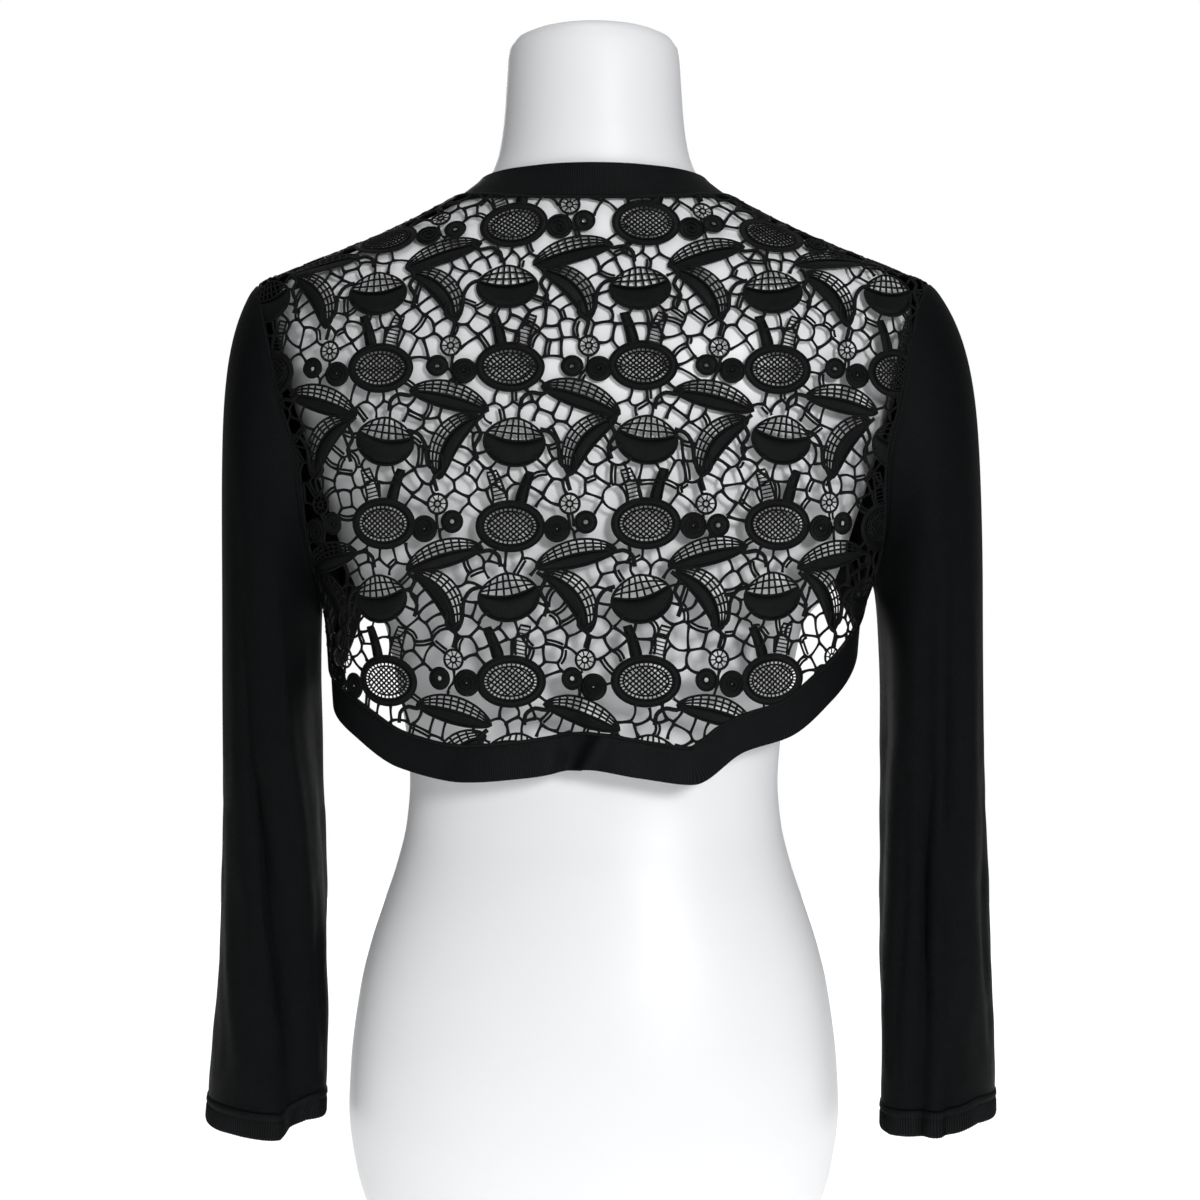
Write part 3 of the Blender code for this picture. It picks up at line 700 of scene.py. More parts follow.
class Lace:
    """A lace piece as it grows: points, faces and thread lines, on the sheet and inside its outline."""

    def __init__(self, sheet, outline):
        self.sheet, self.outline = sheet, outline
        self.points, self.faces, self.uv, self.count = [], [], [], 0

    def hold(self, flat):
        """Places on the sheet, those outside the panel moved to its edge, and which were far outside it."""
        far, near = outline_distance(self.outline, flat)
        return np.where((far < 0)[..., None], near, flat), far < -OUTSIDE

    def keep(self, points, faces, uv):
        self.points.append(points.reshape(-1, 3))
        self.faces.append(faces + self.count)
        self.uv.append(uv)
        self.count += points.size // 3

    def surface(self, flat):
        """The cloth's points and normals at places on the sheet."""
        s, t = flat[..., 0], flat[..., 1]
        return pick(self.sheet, "p", s, t), unit(pick(self.sheet, "n", s, t))

    def threads(self, paths, radius, height=MID, sides=6, closed=False):
        """Round threads along paths of places on the sheet, all of the same number of points."""
        flat = np.asarray(paths, float)
        flat = flat[None] if flat.ndim == 2 else flat
        flat, out = self.hold(flat)
        number, steps = flat.shape[:2]
        radius = np.broadcast_to(np.asarray(radius, float), (number, steps))
        height = np.broadcast_to(np.asarray(height, float), (number, steps))
        floor, normal = self.surface(flat)
        centre = floor + normal * height[..., None]
        if closed:
            along = np.roll(centre, -1, axis=1) - np.roll(centre, 1, axis=1)
        else:
            along = np.gradient(centre, axis=1)
        beside = unit(np.cross(normal, along))
        turn = np.arange(sides) * 2 * math.pi / sides
        wide, high = radius[..., None] * np.cos(turn), FLATNESS * radius[..., None] * np.sin(turn)
        ring_points = centre[:, :, None] + wide[..., None] * beside[:, :, None]
        ring_points = ring_points + high[..., None] * normal[:, :, None]
        i, j = np.meshgrid(np.arange(steps if closed else steps - 1), np.arange(sides), indexing="ij")
        i2, j2 = (i + 1) % steps, (j + 1) % sides
        one = np.stack([i * sides + j, i * sides + j2, i2 * sides + j2, i2 * sides + j], -1)
        far = np.cumsum(np.linalg.norm(np.diff(centre, axis=1), axis=-1), axis=1)
        far = np.concatenate([np.zeros((number, 1)), far, far[:, -1:] + far[:, :1]], axis=1)
        u = np.stack([far[:, i], far[:, i], far[:, i + 1], far[:, i + 1]], -1)
        v = np.broadcast_to(np.stack([j, j + 1, j + 1, j], -1) / sides, u.shape)
        kept = ~(out[:, i] & out[:, i2])
        faces = one[None] + (np.arange(number) * steps * sides)[:, None, None, None]
        self.keep(ring_points, faces[kept], np.stack([u, v], -1)[kept])

    def patch(self, grid, thick, crown, base=0.35):
        """A solid stitched patch: a closed slab over a grid of places, crowned across its rows."""
        flat, out = self.hold(np.asarray(grid, float))
        rows, columns = flat.shape[:2]
        across_it = np.linspace(-1, 1, rows)[:, None] ** 2
        floor, normal = self.surface(flat)
        top = floor + normal * (base + thick + crown * (1 - across_it))[..., None]
        low = floor + normal * base
        steps = np.linalg.norm(np.diff(flat, axis=1), axis=-1).mean(0)
        u = np.broadcast_to(np.r_[0, np.cumsum(steps)], (rows, columns))
        uv = np.stack([u, np.zeros_like(u)], -1).reshape(-1, 2)
        rim = np.r_[
            np.arange(columns),
            np.arange(2, rows + 1) * columns - 1,
            (rows - 1) * columns + np.arange(columns - 2, -1, -1),
            np.arange(rows - 2, 0, -1) * columns,
        ]
        count, ahead = rows * columns, np.roll(rim, -1)
        faces = grid_faces(rows, columns, False)
        sides = np.stack([ahead, rim, rim + count, ahead + count], -1)
        every = np.vstack([faces, faces[:, ::-1] + count, sides])
        across_s, up = flat[:-1, 1:] - flat[:-1, :-1], flat[1:, :-1] - flat[:-1, :-1]
        if (across_s[..., 0] * up[..., 1] - across_s[..., 1] * up[..., 0]).sum() > 0:
            every = every[:, ::-1]
        every = every[~out.ravel()[every % count].all(1)]
        if len(every):
            self.keep(np.concatenate([top.reshape(-1, 3), low.reshape(-1, 3)]), every, uv[every % count])

    def build(self, name, coats, finish):
        used, faces = np.unique(np.concatenate(self.faces), return_inverse=True)
        points = np.concatenate(self.points)[used]
        faces = faces.reshape(-1, 4).tolist()
        return make(name, points, faces, coats, finish, np.concatenate(self.uv))


def placed(local, spot):
    """Places of a motif's own frame, moved, turned, mirrored and sized to its spot."""
    s, t, turn, mirror, size = spot
    turn = math.radians(turn)
    local = np.asarray(local, float) * (mirror * size, size)
    c, w = math.cos(mirror * turn), math.sin(mirror * turn)
    return local @ np.array([[c, w], [-w, c]]) + (s, t)


def oval(a, b, count):
    w = circle(count)
    return np.stack([a * np.cos(w), b * np.sin(w)], -1)


def ring_patch(a0, b0, a1, b1, rows, columns):
    """The grid of a band between two ovals."""
    w = np.linspace(0, 2 * math.pi, columns)
    v = np.linspace(0, 1, rows)[:, None]
    return np.stack([(a0 + (a1 - a0) * v) * np.cos(w), (b0 + (b1 - b0) * v) * np.sin(w)], -1)


def pod(motifs, fills, spot):
    """An oval pod: a knotted lattice, a cord, a ring of stitched openings, a dense band and two stems."""
    motifs.patch(placed(ring_patch(*POD_INNER, *POD_RIM, 4, 49), spot), 0.45, 0.5)
    motifs.threads(placed(oval(*POD_RIM, 44), spot), 0.6, closed=True)
    motifs.threads(placed(oval(*POD_RING, 40), spot), 0.5, MID + 0.35, closed=True)
    motifs.threads(placed(oval(*POD_EYE, 36), spot), 0.6, MID + 0.2, closed=True)
    w = circle(34)[:, None]
    share = np.array([0.0, 1.0])
    spokes = np.stack([(POD_EYE[0] + 2.3 * share) * np.cos(w), (POD_EYE[1] + 2.1 * share) * np.sin(w)], -1)
    fills.threads(placed(spokes, spot), 0.55, MID + 0.1, 5)
    lattice(fills, spot)
    stems(motifs, fills, spot)


def within(x, y, shape):
    """Which places are inside an oval."""
    return (x / shape[0]) ** 2 + (y / shape[1]) ** 2 < 1


def lattice(fills, spot):
    """The pod's slanted threads, with a knot at each crossing."""
    lines, knots = [], []
    reach = LATTICE * math.ceil(LATTICE_REACH / LATTICE)
    x = np.linspace(-LATTICE_REACH, LATTICE_REACH, 400)
    for way in (1, -1):
        for off in np.arange(-reach, reach + 0.1, LATTICE * 1.28):
            inside = within(x, way * (x - off) * LATTICE_SLOPE, POD_EYE)
            if inside.sum() > 12:
                ends = np.interp(np.linspace(0, 1, 7), np.linspace(0, 1, inside.sum()), x[inside])
                lines.append(np.stack([ends, way * (ends - off) * LATTICE_SLOPE], -1))
    fills.threads(placed(np.array(lines), spot), 0.58, MID, 5)
    half, knot = LATTICE * 0.64, 0.75
    for i in range(-8, 9):
        for j in range(-8, 9):
            x, y = i * half, j * half * LATTICE_SLOPE
            if (i + j) % 2 == 0 and within(x, y, POD_KNOTS):
                knots.append([(x - knot, y), (x, y), (x + knot, y)])
    fills.threads(placed(np.array(knots), spot), np.array([0.3, 0.95, 0.3]), MID + 0.15, 5)


def stems(motifs, fills, spot):
    """The pod's solid stem on one side and its open, barred stem on the other."""
    rails = resample(np.array(STEM), 2.2)
    wide = np.linspace(3.1, 2.2, len(rails))
    leaning = np.outer(wide, (1, -0.25))
    motifs.patch(placed(np.stack([rails - leaning, rails, rails + leaning]), spot), 0.4, 0.5)
    rim = np.vstack([rails - leaning, (rails + leaning)[::-1]])
    motifs.threads(placed(rim, spot), 0.55, closed=True)
    other = rails * (-1, 1)
    rungs = np.stack([other + np.outer(wide * 1.2, (-1, -0.25)), other + np.outer(wide * 1.2, (1, 0.25))], 1)
    loop = np.vstack([rungs[:, 0], rungs[::-1, 1]])
    motifs.threads(placed(loop, spot), 0.8, closed=True)
    fills.threads(placed(rungs, spot), 0.5, sides=5)


def wheel(motifs, fills, spot):
    """A spoked open berry."""
    motifs.threads(placed(oval(5.5, 5.5, 22), spot), 0.85, closed=True)
    motifs.threads(placed(oval(1.8, 1.8, 10), spot), 0.7, closed=True)
    fills.threads(placed(np.stack([oval(1.8, 1.8, 9), oval(5.5, 5.5, 9)], 1), spot), 0.45, sides=5)


def spiral(motifs, fills, spot):
    """A solid berry with a raised spiral."""
    motifs.patch(placed(ring_patch(0.4, 0.4, 7.6, 7.6, 5, 29), spot), 0.35, 0.25)
    w = np.linspace(0.4, 2.6 * 2 * math.pi, 46)[:, None]
    far = 0.8 + 6.3 * w / w[-1]
    motifs.threads(placed(np.hstack([far * np.cos(w), far * np.sin(w)]), spot), 0.62, MID + 0.4)


def button(motifs, fills, spot):
    """A smaller solid berry with a rim and a pierced middle."""
    motifs.patch(placed(ring_patch(1.2, 1.2, 6.0, 6.0, 4, 25), spot), 0.4, 0.45)
    motifs.threads(placed(oval(6.0, 6.0, 24), spot), 0.6, closed=True)
    motifs.threads(placed(oval(1.9, 1.9, 10), spot), 0.5, MID + 0.4, closed=True)


def leaf(motifs, fills, spot, kind):
    """A leaf: solid below its rib and an open grid above it."""
    length, width, bend, power, rib, lengthwise, bars = LEAVES[kind]

    def place(u, v):
        half = width / 2 * np.maximum(0, 1 - u * u) ** power
        slope = np.arctan(-4 * bend * u / length)
        x, y = length / 2 * u, bend * (1 - u * u)
        return np.stack([x - np.sin(slope) * v * half, y + np.cos(slope) * v * half], -1)

    u = np.sin(np.linspace(-1, 1, 23) * math.pi / 2)
    v = np.linspace(-1, rib, 4)[:, None]
    motifs.patch(placed(place(u[None], v), spot), 0.42, 0.5)
    ends = np.vstack([place(u, -1.0)[:-1], place(u, 1.0)[:0:-1]])
    motifs.threads(placed(resample(ends, 1.9, True), spot), 0.75, closed=True)
    motifs.threads(placed(place(u, rib), spot), 0.65, MID + 0.3)
    at_bars = np.linspace(-1, 1, bars + 2)[1:-1, None]
    fills.threads(placed(place(at_bars, np.linspace(rib, 1, 4)[None]), spot), 0.72, sides=5)
    for k in range(lengthwise):
        v = rib + (1 - rib) * (k + 1) / (lengthwise + 1)
        fills.threads(placed(place(u[1:-1], v), spot), 0.66, sides=5)


# ---------------------------------------------------------------- the lace


def repeats():
    """Each repeat's place and hand, row by row. Every other row is mirrored."""
    for row in REPEAT_ROWS:
        for column in REPEAT_COLUMNS:
            yield ROW_START + PITCH[0] * column, EQUATOR + PITCH[1] * row, 1 if row % 2 == 0 else -1


def spots(random):
    """Each motif's kind and spot, repeat by repeat."""
    found = []
    for s0, t0, mirror in repeats():
        for kind, s, t, turn in LAYOUT:
            push = random.normal(0, JITTER, 2)
            lean = random.normal(0, LEANING)
            spot = (s0 + mirror * s + push[0], t0 + t + push[1], turn + lean, mirror, MOTIF_SIZE)
            found.append((kind, spot))
    return found


def shape_of(kind, spot):
    """A motif's rough outline, which the net stops at."""
    if kind in BERRIES:
        return placed(oval(BERRIES[kind], BERRIES[kind], 18), spot)
    if kind == "pod":
        return placed(oval(19.2, 14.2, 32), spot)
    length, width, bend, power, *_ = LEAVES[kind]
    u = np.linspace(-1, 1, 15)
    half, middle = width / 2 * (1 - u * u) ** power, bend * (1 - u * u)
    low, high = (np.stack([length / 2 * u, middle + way * half], -1) for way in (-1, 1))
    return placed(np.vstack([low, high[-2:0:-1]]), spot)


def clear_of(shapes, points):
    """How far outside the nearest motif each point is. Inside is negative."""
    away = np.full(points.shape[:-1], 99.0)
    for shape in shapes:
        middle = shape.mean(0)
        reach = np.linalg.norm(shape - middle, axis=1).max() + 16
        near = ((points - middle) ** 2).sum(-1) < reach * reach
        if near.any():
            away[near] = np.minimum(away[near], -outline_distance(shape, points[near])[0])
    return away


def net_seeds(shapes, outline, random):
    """The middles of the net's meshes: a ring round every motif and an even fill, in shares of MESH."""
    rings = []
    for shape in shapes:
        path = resample(shape, MESH * 0.98, True)
        along = np.roll(path, -1, axis=0) - np.roll(path, 1, axis=0)
        out = unit(np.stack([along[:, 1], -along[:, 0]], -1))
        if outline_distance(shape, path[:1] + out[:1])[0][0] > 0:
            out = -out
        rings.append(path + out * MESH * 0.52)
    rings = np.vstack(rings)
    rings = rings[clear_of(shapes, rings) > MESH * 0.3]
    low, high = outline.min(0) - 12, outline.max(0) + 12
    tries = random.uniform(low, high, (9000, 2))
    tries = tries[clear_of(shapes, tries) > MESH * 0.8]
    kept = np.empty((0, 2))
    for group, least in ((rings, MESH * 0.62), (tries, MESH * 0.86)):
        for p in group:
            if not len(kept) or ((kept - p) ** 2).sum(1).min() > least * least:
                kept = np.vstack([kept, p])
    return kept


def net_cords(seeds, shapes, outline):
    """The net's cords: the walls between the seeds' cells. They end just inside the motifs and the edging."""
    points, _, triangles, *_ = delaunay_2d_cdt([tuple(p) for p in seeds], [], [], 0, 1e-4)
    points = np.array([tuple(p) for p in points])
    owners = {}
    middles = np.empty((len(triangles), 2))
    for k, (a, b, c) in enumerate(triangles):
        p, q, r = points[a], points[b], points[c]
        d = 2 * ((q - p)[0] * (r - p)[1] - (q - p)[1] * (r - p)[0])
        qq, rr = ((q - p) ** 2).sum(), ((r - p) ** 2).sum()
        middles[k] = p + np.array([(r - p)[1] * qq - (q - p)[1] * rr, (q - p)[0] * rr - (r - p)[0] * qq]) / d
        for edge in ((a, b), (b, c), (c, a)):
            owners.setdefault(tuple(sorted(edge)), []).append(k)
    walls = np.array([(middles[v[0]], middles[v[1]]) for v in owners.values() if len(v) == 2])
    size = np.linalg.norm(walls[:, 1] - walls[:, 0], axis=1)
    walls = walls[(size > 0.9) & (size < 3 * MESH)]
    share = np.linspace(0, 1, 15)[:, None]
    samples = walls[:, :1] + (walls[:, 1:] - walls[:, :1]) * share
    free = (clear_of(shapes, samples) > -0.9) & (outline_distance(outline, samples)[0] > -1.2)
    cords = []
    for line, ok in zip(samples, free):
        breaks = np.flatnonzero(np.diff(np.r_[False, ok, False].astype(int)))
        for a, b in breaks.reshape(-1, 2):
            if b - a > 2:
                cords.append((line[a], line[b - 1]))
    return np.array(cords)


def net(piece, shapes, random):
    """The bride net, each cord a little bent and thicker where it joins."""
    seeds = net_seeds(shapes, piece.outline, random)
    cords = net_cords(seeds, shapes, piece.outline)
    start, end = cords[:, 0], cords[:, 1]
    size = np.linalg.norm(end - start, axis=1)
    across_it = np.stack([start[:, 1] - end[:, 1], end[:, 0] - start[:, 0]], -1)
    share = np.linspace(0, 1, len(CORD_SHAPE))
    bow = random.normal(0, BOW, (len(cords), 1)) * np.sin(math.pi * share)
    paths = start[:, None] + (end - start)[:, None] * share[:, None] + bow[..., None] * across_it[:, None]
    piece.threads(paths, CORD * CORD_SHAPE * random.uniform(0.88, 1.18, (len(cords), 1)), MID - 0.1)
    double = (random.uniform(size=len(cords)) < DOUBLED) & (size > 4)
    beside = paths[double] + unit(across_it[double])[:, None] * DOUBLE_GAP
    piece.threads(beside, CORD * 0.85, MID - 0.1)


def lace(sheet):
    """The whole back panel, in two pieces: the net with the fine fills, and the raised motifs."""
    random = np.random.default_rng(SEED)
    outline = panel_outline(sheet)
    motifs, fills = Lace(sheet, outline), Lace(sheet, outline)
    makers = {"pod": pod, "wheel": wheel, "spiral": spiral, "button": button}
    shapes = []
    for kind, spot in spots(random):
        shape = shape_of(kind, spot)
        if (outline_distance(outline, shape)[0] > 0).mean() <= MOTIF_INSIDE:
            continue
        shapes.append(shape)
        if kind in makers:
            makers[kind](motifs, fills, spot)
        else:
            leaf(motifs, fills, spot, kind)
    for s, t, mirror in repeats():
        for path in TENDRILS:
            motifs.threads(placed(smooth_path(path, 13), (s, t, 0, mirror, 1.0)), TENDRIL)
    motifs.threads(resample(outline, 2.2, True), EDGING, closed=True)
    net(fills, shapes, random)
    finish = thread()
    body = fills.build("lace_net", ["back_lace"], finish)
    raised = motifs.build("lace_motifs", [], finish)


def smooth_path(path, count):
    """A smooth curve through a few places."""
    path = np.asarray(path, float)
    table = np.c_[np.arange(len(path)), path]
    u = np.linspace(0, len(path) - 1, count)
    return np.stack([at(table, 1, u), at(table, 2, u)], -1)


# ---------------------------------------------------------------- the knitted pieces


def lengths(grid):
    """Each grid point's rough distance along its row and down its column, in millimetres."""
    along = np.linalg.norm(np.diff(grid, axis=1), axis=-1).mean(0)
    down = np.linalg.norm(np.diff(grid, axis=0), axis=-1).mean(1)
    u, v = np.r_[0, np.cumsum(along)], np.r_[0, np.cumsum(down)]
    return np.stack(np.meshgrid(u, v), -1)


def wall(name, inner, thick, relief, loop, finish):
    """A knitted piece that stands for the CAD node of its name."""
    outer = inner + grid_normals(inner, loop) * (thick + relief)[..., None]
    return shell(name + "_knit", inner, outer, loop, [name], finish, lengths(inner))


def facing(grid, side):
    """The grid with its columns in the order that turns its normals outward, on either side."""
    return grid if side < 0 else grid[:, ::-1]


def bell(away, width):
    """A smooth bump: 1 in the middle, and fading over this width."""
    return np.exp(-((away / width) ** 2))


def mark(away, shape):
    """A mark's height at this distance from its middle line."""
    return shape[0] * bell(away, shape[1])


def rib_relief(along, across_it, width):
    """Fine upright ribs, a rolled outer edge and a linking seam by the inner edge."""
    linked = np.clip((across_it - (width - LINKED)) / 0.8, 0, 1)
    ribs = RIB_DEPTH * (np.abs(np.cos(math.pi * along / RIB_PITCH)) - 0.6) * (1 - 0.6 * linked)
    edge = mark(across_it, ROLLED_EDGE)
    groove = mark(across_it - width + LINKED, LINK_GROOVE)
    return ribs + edge + groove + mark(across_it - width + LINKED / 2, LINK_RIDGE)


def band(name, part, finish):
    """The front band, which is the edge's part 0, or the hem band, which is part 1."""
    outer = edges(0)[part]
    far = run(cloth(*outer.T))
    columns = int(far[-1] / RIB_PITCH) * 4 + 1
    along = np.linspace(BAND_END, 1 - BAND_END, columns) * far[-1]
    index = np.interp(along, far, np.arange(len(far)))
    rows = []
    for w in BAND_ROWS:
        path = edges(w)[part]
        rows.append(cloth(*(np.interp(index, np.arange(len(path)), path[:, k]) for k in (0, 1))))
    inner = eased(np.stack(rows))
    inner = inner + grid_normals(inner, False) * band_folds(inner, name)[..., None]
    u, v = np.meshgrid(along, BAND_ROWS)
    piece = wall(name, inner, BAND_WALL, rib_relief(u, v, BAND_WIDTH), False, finish)


def eased(grid):
    """A band's rows, run straight on past a sharp bend of the edge, more so towards the inner side."""
    weights = np.hanning(2 * EASE + 1)
    padded = np.pad(grid, ((0, 0), (EASE, EASE), (0, 0)), "reflect", reflect_type="odd")
    windows = np.lib.stride_tricks.sliding_window_view(padded, 2 * EASE + 1, axis=1)
    smooth = (windows * weights).sum(-1) / weights.sum()
    share = np.clip((BAND_ROWS - EASE_FROM) / (BAND_WIDTH - EASE_FROM), 0, 1)[:, None, None]
    return grid + (smooth - grid) * share


def band_folds(inner, name):
    """How far a band's soft folds lift each point."""
    fold = np.zeros(inner.shape[:2])
    for x, z, w, depth in BAND_FOLDS.get(name, ()):
        leant = x - FOLD_LEAN * (inner[..., 2] - z)
        away = ((inner[..., 0] - leant) / w) ** 2 + ((inner[..., 2] - z) / FOLD_TALL) ** 2
        fold = fold + depth * np.exp(-away)
    return fold


def crease(turn, z, lines):
    """The depth of the creases at an angle and height of a sleeve. Each fades at its ends."""
    total = np.zeros(np.broadcast(turn, z).shape)
    degrees = np.degrees(turn)
    for a0, z0, a1, z1, w, depth in lines:
        share = np.clip((z - z0) / (z1 - z0), 0, 1)
        middle = a0 + (a1 - a0) * share + 5 * np.sin(share * 5 + a0)
        away = ((degrees - middle + 180) % 360 - 180) * MM_A_DEGREE
        total = total + depth * np.sin(math.pi * share) ** 0.7 * bell(away, w)
    return total


def waver(a, b):
    """A small uneven swell that is nowhere repeated."""
    return np.sin(a * 2.1 + 1.3 * np.sin(b * 1.7)) * np.sin(b * 1.3 + 0.8 * np.sin(a * 3.3 + 1))


def sleeve_rings(side, turn, steps):
    """Creased rings of a sleeve. A step is a height, and how far the ring has turned level."""
    bottom = SLEEVE[side][-1][0]
    grid = np.stack([sleeve_point(side, turn, z, turned) for z, turned in steps])
    z, turned = (column[:, None] for column in np.array(steps).T)
    drop = np.interp(np.degrees(turn), *np.array(SLEEVE_DROP[side]).T)
    grid[..., 2] -= np.clip((DROP_TOP - z) / (DROP_TOP - bottom), 0, 1) * drop
    depth = crease(turn[None], z, CREASES[side]) + SWELL * waver(turn[None] * 3, z / 23)
    settled = np.clip((turned - CREASED_FROM) / (1 - CREASED_FROM), 0, 1)
    fade = settled * np.clip((z - bottom) / SMOOTH_END, 0, 1)
    out = np.stack([side * np.cos(turn), np.sin(turn), np.zeros(len(turn))], -1)
    return grid + (depth * fade)[..., None] * out


def sleeve(side, end, finish):
    """One sleeve, from its head, which is tucked in at the armhole, down to the cuff."""
    low, bottom = UNDERARM[side] - HEAD_DROP, SLEEVE[side][-1][0]
    head = np.interp(np.linspace(0, len(HEAD_TURN) - 1, HEAD_RINGS), np.arange(len(HEAD_TURN)), HEAD_TURN)
    steps = [(UNDERARM[side] - HEAD_DROP * t, t) for t in head]
    steps += [(z, 1.0) for z in np.linspace(low, bottom, ARM_RINGS)[1:]]
    grid = sleeve_rings(side, circle(SLEEVE_AROUND), steps)
    tucked = grid[:1] - np.array([side * TUCK, 0, 0])
    grid = facing(np.concatenate([tucked, grid]), side)
    seam = mark(lengths(grid)[..., 1] - TUCK, ARM_GROOVE)
    piece = wall("sleeve_" + end, grid, KNIT_WALL, seam, True, finish)


def cuff(side, end, finish):
    """One cuff, which runs on straight from its sleeve's last ring."""
    low, bottom = UNDERARM[side] - HEAD_DROP, SLEEVE[side][-1][0]
    turn = circle(CUFF_RIBS * 4)
    above, last = sleeve_rings(side, turn, [(bottom + (low - bottom) / 9, 1.0), (bottom, 1.0)])
    rows = np.array(CUFF_ROWS)
    grid = facing(last[None] + unit(last - above)[None] * (SEAM + rows)[:, None, None], side)
    along = np.broadcast_to(np.arange(len(turn)) * RIB_PITCH / 4, grid.shape[:2])
    relief = rib_relief(along, CUFF_WIDTH - rows[:, None], CUFF_WIDTH)
    piece = wall("cuff_" + end, grid, CUFF_WALL, relief, True, finish)


def front_sides(side):
    """A front's four sides: by the band, by the armhole, along the shoulder and along the side seam."""
    neck = edges(BAND_WIDTH + FRONT_LAP)[0]
    points = cloth(*neck.T)
    seam = SHOULDER_SEAM[side] - APART
    mine = neck[points[:, 0] * side > 0]
    mine = mine if side > 0 else mine[::-1]
    over = cloth(*mine.T)
    crossing = np.argmax((over[:, 1] > seam) & (over[:, 2] > SHOULDER_PART))
    inner = even(mine[:crossing][::-1], np.linspace(0, 1, FRONT_ROWS) ** 1.25)
    x, y, z = armhole(np.linspace(0, math.pi, 300), side, False, APART)
    angle = np.arctan2(y, x)
    if side < 0:
        inner[:, 0] = whole_turn(inner[:, 0])
        angle = whole_turn(angle)
    outer = even(np.stack([angle, z], -1), FRONT_ROWS)
    x_top = np.linspace(abs(cloth(*inner[0])[0]), abs(cloth(*outer[0])[0]), 60)
    top = np.stack([np.arctan2(seam, side * x_top), [seam_height(v, seam) for v in x_top]], -1)
    top[0], top[-1] = inner[0], outer[0]
    inner[-1, 0] -= side * 2 * APART / SIDE_RADIUS
    low = np.array([inner[-1], outer[-1]])
    return inner, outer, even(top, FRONT_COLUMNS), even(low, FRONT_COLUMNS)


def front(side, name, finish):
    """The patch between the shoulder seam, the armhole, the side seam and the band."""
    inner, outer, top, low = front_sides(side)
    u, v = np.meshgrid(np.linspace(0, 1, FRONT_COLUMNS), np.linspace(0, 1, FRONT_ROWS))
    middle = np.sin(math.pi * u) * np.sin(math.pi * v)
    swell = middle * (0.8 * waver(u * 3, v * 7) + FRONT_FOLD * np.sin(v * 9 + u * 4))
    u, v = u[..., None], v[..., None]
    patch = (
        (1 - u) * inner[:, None] + u * outer[:, None] + (1 - v) * top[None] + v * low[None]
        - (1 - u) * (1 - v) * top[0] - u * (1 - v) * top[-1] - (1 - u) * v * low[0] - u * v * low[-1]
    )
    grid = facing(cloth(patch[..., 0], patch[..., 1]), side)
    grid = grid + grid_normals(grid, False) * np.maximum(swell, 0)[..., None]
    piece = wall(name, grid, KNIT_WALL, np.zeros(grid.shape[:2]), False, finish)


def dress_form():
    """The form's body, in even rings from its flat base to its domed neck."""
    heights = np.linspace(FORM[0, 0], FORM[-1, 0], 2000)
    far = np.r_[0, np.cumsum(np.hypot(np.diff(at(FORM, 1, heights)), np.diff(heights)))]
    heights = np.interp(np.linspace(0, far[-1], FORM_RINGS), far, heights)
    wide, back, front_deep, n = (at(FORM, k, heights)[:, None] for k in (1, 2, 3, 4))
    t = circle(FORM_AROUND)
    c, s = np.cos(t), np.sin(t)
    x = wide * np.sign(c) * np.abs(c) ** (2 / n)
    y = np.where(s > 0, back, front_deep) * np.sign(s) * np.abs(s) ** (2 / n)
    grid = np.stack([x, y, np.broadcast_to(heights[:, None], x.shape)], -1)
    points = np.vstack([grid.reshape(-1, 3), [(0, 0, heights[0]), (0, 0, heights[-1] + 0.4)]])
    faces = grid_faces(FORM_RINGS, FORM_AROUND, True).tolist()
    base, cap, last = len(points) - 2, len(points) - 1, (FORM_RINGS - 1) * FORM_AROUND
    for j in range(FORM_AROUND):
        k = (j + 1) % FORM_AROUND
        faces += [(k, j, base), (last + j, last + k, cap)]
    make("form_body", points, faces, ["dress_form"], plastic())


# ---------------------------------------------------------------- materials


